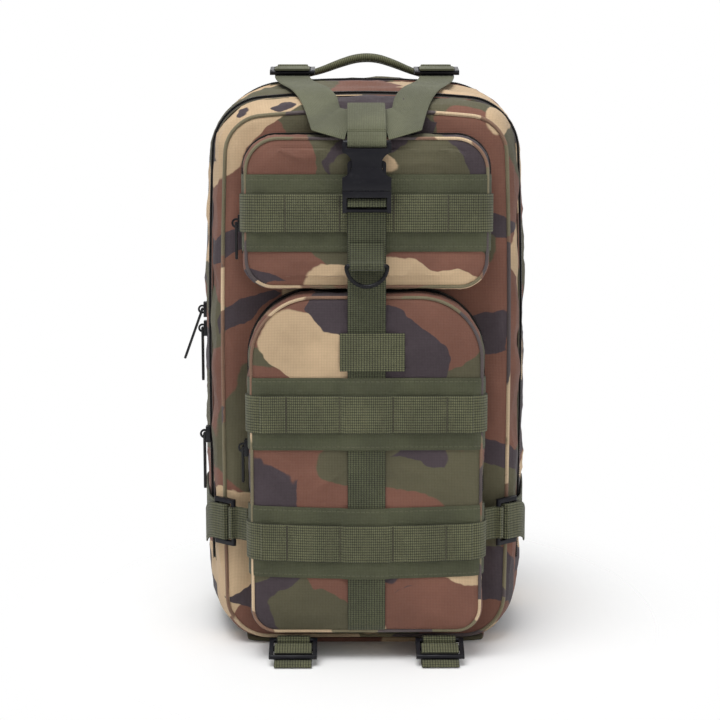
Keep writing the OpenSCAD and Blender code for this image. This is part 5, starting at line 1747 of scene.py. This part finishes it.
@dataclass
class Harness:
    """Back pads, shoulder straps, sternum strap and belt."""

    pad_y: float = 84.3
    pad_t: float = 11.0
    back: float = 95.3
    between: float = 12.0
    channels: tuple[float, ...] = (172.0, 243.0, 314.0)

    def sewn(self, p: Array) -> Array:
        """Pins the back pads where they are sewn: at their base and along their channels."""
        tall = (p[:, 2] > 98) & (np.abs(p[:, None, 2] - np.array(self.channels)).min(1) < 2.4)
        return ((p[:, 1] < self.pad_y + 2.2) | tall).astype(float)

    def bound(self, p: Array) -> Array:
        """Pins a shoulder pad at both sewn ends."""
        return ((p[:, 1] < 92.0) | (p[:, 2] < 219.0)).astype(float)

    def pad(self, w: float, z0: float, z1: float, x: float, channels: Sequence[float]) -> Loft:
        """Crowned pad of spacer mesh with sewn channels.

        Args:
            w: Width in mm.
            z0: Height of its base.
            z1: Height of its top.
            x: Its middle.
            channels: Heights of the channels.

        Returns:
            The pad as a loft: y + t sqrt(1 - (1 - e)^2), with e the distance from the rim over 9 mm, up
            to 1, and the rise cut by 45% at each channel.
        """
        base = PackForm.outline(w / 2, z0, z1, 16, 16)
        base = at_steps(base, 160, closed=True)
        ring = np.stack([x + base[:, 0], np.full(160, self.pad_y), base[:, 1]], 1)
        mid = (x, (z0 + z1) / 2)
        share = np.concatenate([[0.02, 0.5, 0.97], np.linspace(1.0, 0.02, 26)])
        grid = PackForm.closing(ring, share, mid)
        edge = np.minimum(1, (1 - share[:, None]) * (w / 2) / 9.0)
        rise = self.pad_t * np.sqrt(np.clip(1 - (1 - edge) ** 2, 0, 1))
        rise = rise * (np.arange(len(share)) > 2)[:, None]
        dips = sum(np.exp(-(((grid[..., 2] - c) / 3.2) ** 2)) for c in channels) if channels else 0.0
        grid[..., 1] += rise * (1 - 0.45 * dips)
        return Loft(grid)

    def pads(self) -> bpy.types.Object:
        """Two tall pads and the lumbar pad."""
        w = FORM.width * 0.31
        forms = [self.pad(w, 102, 385, side * (w + self.between) / 2, self.channels) for side in (-1, 1)]
        forms.append(self.pad(2 * w + self.between, 14, 94, 0, ()))
        return swelled(piece("back_padding", forms, MESH, ["back_pads"]), self.sewn)

    def shoulder(self, side: int) -> bpy.types.Object:
        """Shoulder pad: a crowned strap that hugs the back and narrows to its webbing."""
        keys = [(45, 84.4, 395, 48), (45, 99.3, 395, 50), (50, 109.3, 385, 56), (58, 115.3, 345, 56),
                (68, 115.3, 295, 56), (79, 111.3, 247, 52), (85, 108.3, 228, 43), (85, 107.3, 214, 39)]
        line = eased(keys, 4.0, 3)
        path, width = line[:, :3] * (side, 1, 1), line[:, 3]
        along = unit(np.gradient(path, axis=0))
        up = np.array([0, 0.06, 1.0]) + np.clip((396 - line[:, 2:3]) / 12, 0, 1) * np.array([0, 3.0, -1.0])
        wide = unit(np.cross(along, up))
        out = unit(np.cross(wide, along))
        turn = np.linspace(0, 2 * pi, 36, endpoint=False)
        c, s = np.cos(turn), np.sin(turn)
        a = np.sign(c) * np.abs(c) ** 0.75
        b = np.sign(s) * np.abs(s) ** 0.7
        points = (path[:, None] + out[:, None] * 5.5 + wide[:, None] * (width[:, None] / 2 * a)[..., None]
                  + out[:, None] * (5.3 * b)[None, :, None])
        name = HARNESS_SIDES[side]
        pad = piece("shoulder_padding_" + name, [Loft(points)], MESH, ["shoulder_pad_" + name])
        return swelled(pad, self.bound)

    def lower_web(self, side: int) -> bpy.types.Object:
        """Adjusting webbing from the side seam through the lock, and the stub on the pad."""
        y, z = self.back + 17, 200.0
        fold = lock_fold(14, 26)
        line = in_space(np.stack([fold[:, 1], -fold[:, 0]], 1), (y, z))
        down = in_space(np.array([(y - 9, 140.0), (self.back + 2.4, 84.0), (self.back + 1.2, 66.0)]))
        path = eased(np.concatenate([down[::-1], line]), 1.6, 3)
        ply = bar_loop([(0.3, 2.4), (0.2, 5.0)], HW.loop_r)
        stub = eased(in_space(ply, (y, z + HW.reach)), 0.9, 2)
        away = (side * 85, 0, 0)
        forms = [strap(path + away, ACROSS), strap(stub + away, ACROSS, HW.stub_w)]
        name = HARNESS_SIDES[side]
        return piece("lower_webbing_" + name, forms, BLACK_WEB, ["shoulder_web_" + name])

    def build(self) -> list[bpy.types.Object]:
        """Pads, straps, webs and buckles."""
        made = [self.pads()]
        y, belt = self.back + 32.0, self.back + 5
        for side, name in HARNESS_SIDES.items():
            made += [self.shoulder(side), self.lower_web(side), moulded("shoulder_lock_" + name, PLASTIC)]
            line = np.array([(86, y, 330), (60, y + 0.3, 330), (30.3, y, 330)]) * (side, 1, 1)
            form = strap(eased(line, 2.0, 2), UP, 25)
            made.append(piece("sternum_webbing_" + name, [form], BLACK_WEB, ["sternum_" + name]))
            line = np.array([(106, 84.6, 34), (106, 87, 34), (102, 93, 34), (95, belt - 2.4, 34),
                             (86, belt, 34), (30.3, belt, 34)]) * (side, 1, 1)
            form = strap(eased(line, 1.6, 2), UP, 38, 2.0)
            made.append(piece("belt_webbing_" + name, [form], BLACK_WEB, ["belt_" + name]))
        buckles = ("sternum_socket", "sternum_plug", "belt_socket", "belt_plug")
        return made + [moulded(node, PLASTIC, 0.5) for node in buckles]


# ---------------------------------------------------------------- studio


@dataclass
class Studio:
    """Pale floor, soft lamps, white surroundings and the camera."""

    eye: tuple[float, float, float] = (-0.014, -1.217, 0.3765)
    aim: tuple[float, float, float] = (-0.0036, 0.02, 0.2025)
    lens: float = 79.1

    def floor(self) -> None:
        """Large pale floor that keeps the soft shadow."""
        mesh = bpy.data.meshes.new("floor")
        mesh.from_pydata([(-6, -6, 0), (6, -6, 0), (6, 6, 0), (-6, 6, 0)], [], [(0, 1, 2, 3)])
        obj = added("floor", mesh)
        paint = bpy.data.materials.new("floor_paint")
        paint.use_nodes = True
        shader = paint.node_tree.nodes["Principled BSDF"]
        shader.inputs["Base Color"].default_value = (0.97, 0.97, 0.97, 1)
        shader.inputs["Roughness"].default_value = 0.9
        shader.inputs["Specular IOR Level"].default_value = 0.0
        w = Wiring(paint.node_tree)
        flat = w.vector("MULTIPLY", w.place_of(Place.OBJECT), (1.0, 0.8, 0.0))
        away = w.vector("DISTANCE", flat, (0.0, 0.02, 0.0))
        clear = w.node("ShaderNodeBsdfTransparent")
        blend = w.node("ShaderNodeMixShader")
        seen = w.node("ShaderNodeLightPath").outputs["Is Camera Ray"]
        w.feed(blend.inputs[0], w.maths("MULTIPLY", w.span(away, 0.09, 0.30), seen))
        w.feed(blend.inputs[1], shader.outputs[0])
        w.feed(blend.inputs[2], clear.outputs[0])
        w.feed(paint.node_tree.nodes["Material Output"].inputs["Surface"], blend.outputs[0])
        mesh.materials.append(paint)

    @staticmethod
    def aimed(obj: bpy.types.Object, at: Sequence[float], aim: Sequence[float]) -> None:
        """Puts a lamp or camera at a place, looking at another."""
        obj.location = at
        obj.rotation_euler = (Vector(aim) - Vector(at)).to_track_quat("-Z", "Y").to_euler()

    def lamp(self, name: str, at: Sequence[float], power: float, size: float) -> None:
        """Square soft lamp that looks at the pack."""
        data = bpy.data.lights.new(name, "AREA")
        data.energy, data.size = power, size
        self.aimed(added(name, data), at, (0, 0, 0.22))

    def surroundings(self) -> None:
        """White to the camera and to transmitted rays, and a plain soft light otherwise."""
        world = bpy.data.worlds.new("studio")
        bpy.context.scene.world = world
        world.use_nodes = True
        w = Wiring(world.node_tree)
        world.node_tree.nodes.clear()
        seen = w.node("ShaderNodeLightPath")
        white = w.maths("MAXIMUM", seen.outputs["Is Camera Ray"], seen.outputs["Is Transmission Ray"])
        glow = w.node("ShaderNodeBackground")
        glow.inputs["Color"].default_value = (1, 1, 1, 1)
        w.feed(glow.inputs["Strength"], w.span(white, 0, 1, (0.42, 1.0)))
        w.feed(w.node("ShaderNodeOutputWorld").inputs["Surface"], glow.outputs[0])

    def build(self) -> None:
        """Floor, lamps, world and camera."""
        self.floor()
        self.surroundings()
        self.lamp("key", (-0.35, -0.65, 2.1), power=34.0, size=1.3)
        self.lamp("fill", (1.3, -1.5, 0.9), power=5.0, size=1.4)
        self.lamp("rear", (0.4, 1.9, 1.2), power=12.0, size=1.6)
        data = bpy.data.cameras.new("view")
        data.lens, data.sensor_width = self.lens, 36.0
        data.clip_start, data.clip_end = 0.01, 50.0
        camera = added("view", data)
        self.aimed(camera, self.eye, self.aim)
        bpy.context.scene.camera = camera


def main() -> None:
    """Builds the studio and every sub-assembly in order."""
    logging.basicConfig(level=logging.INFO, format="%(name)s %(message)s")
    bpy.context.scene.view_settings.view_transform = "Standard"
    Studio().build()
    assemblies = (Body(), Zips(), FrontPockets(), TopRigging(), FrontStrap(), Underside(), Interior(),
                  Sliders(), Harness())
    total = sum(len(assembly.build()) for assembly in assemblies)
    log.info("%d pieces", total)


if __name__ == "__main__":
    main()
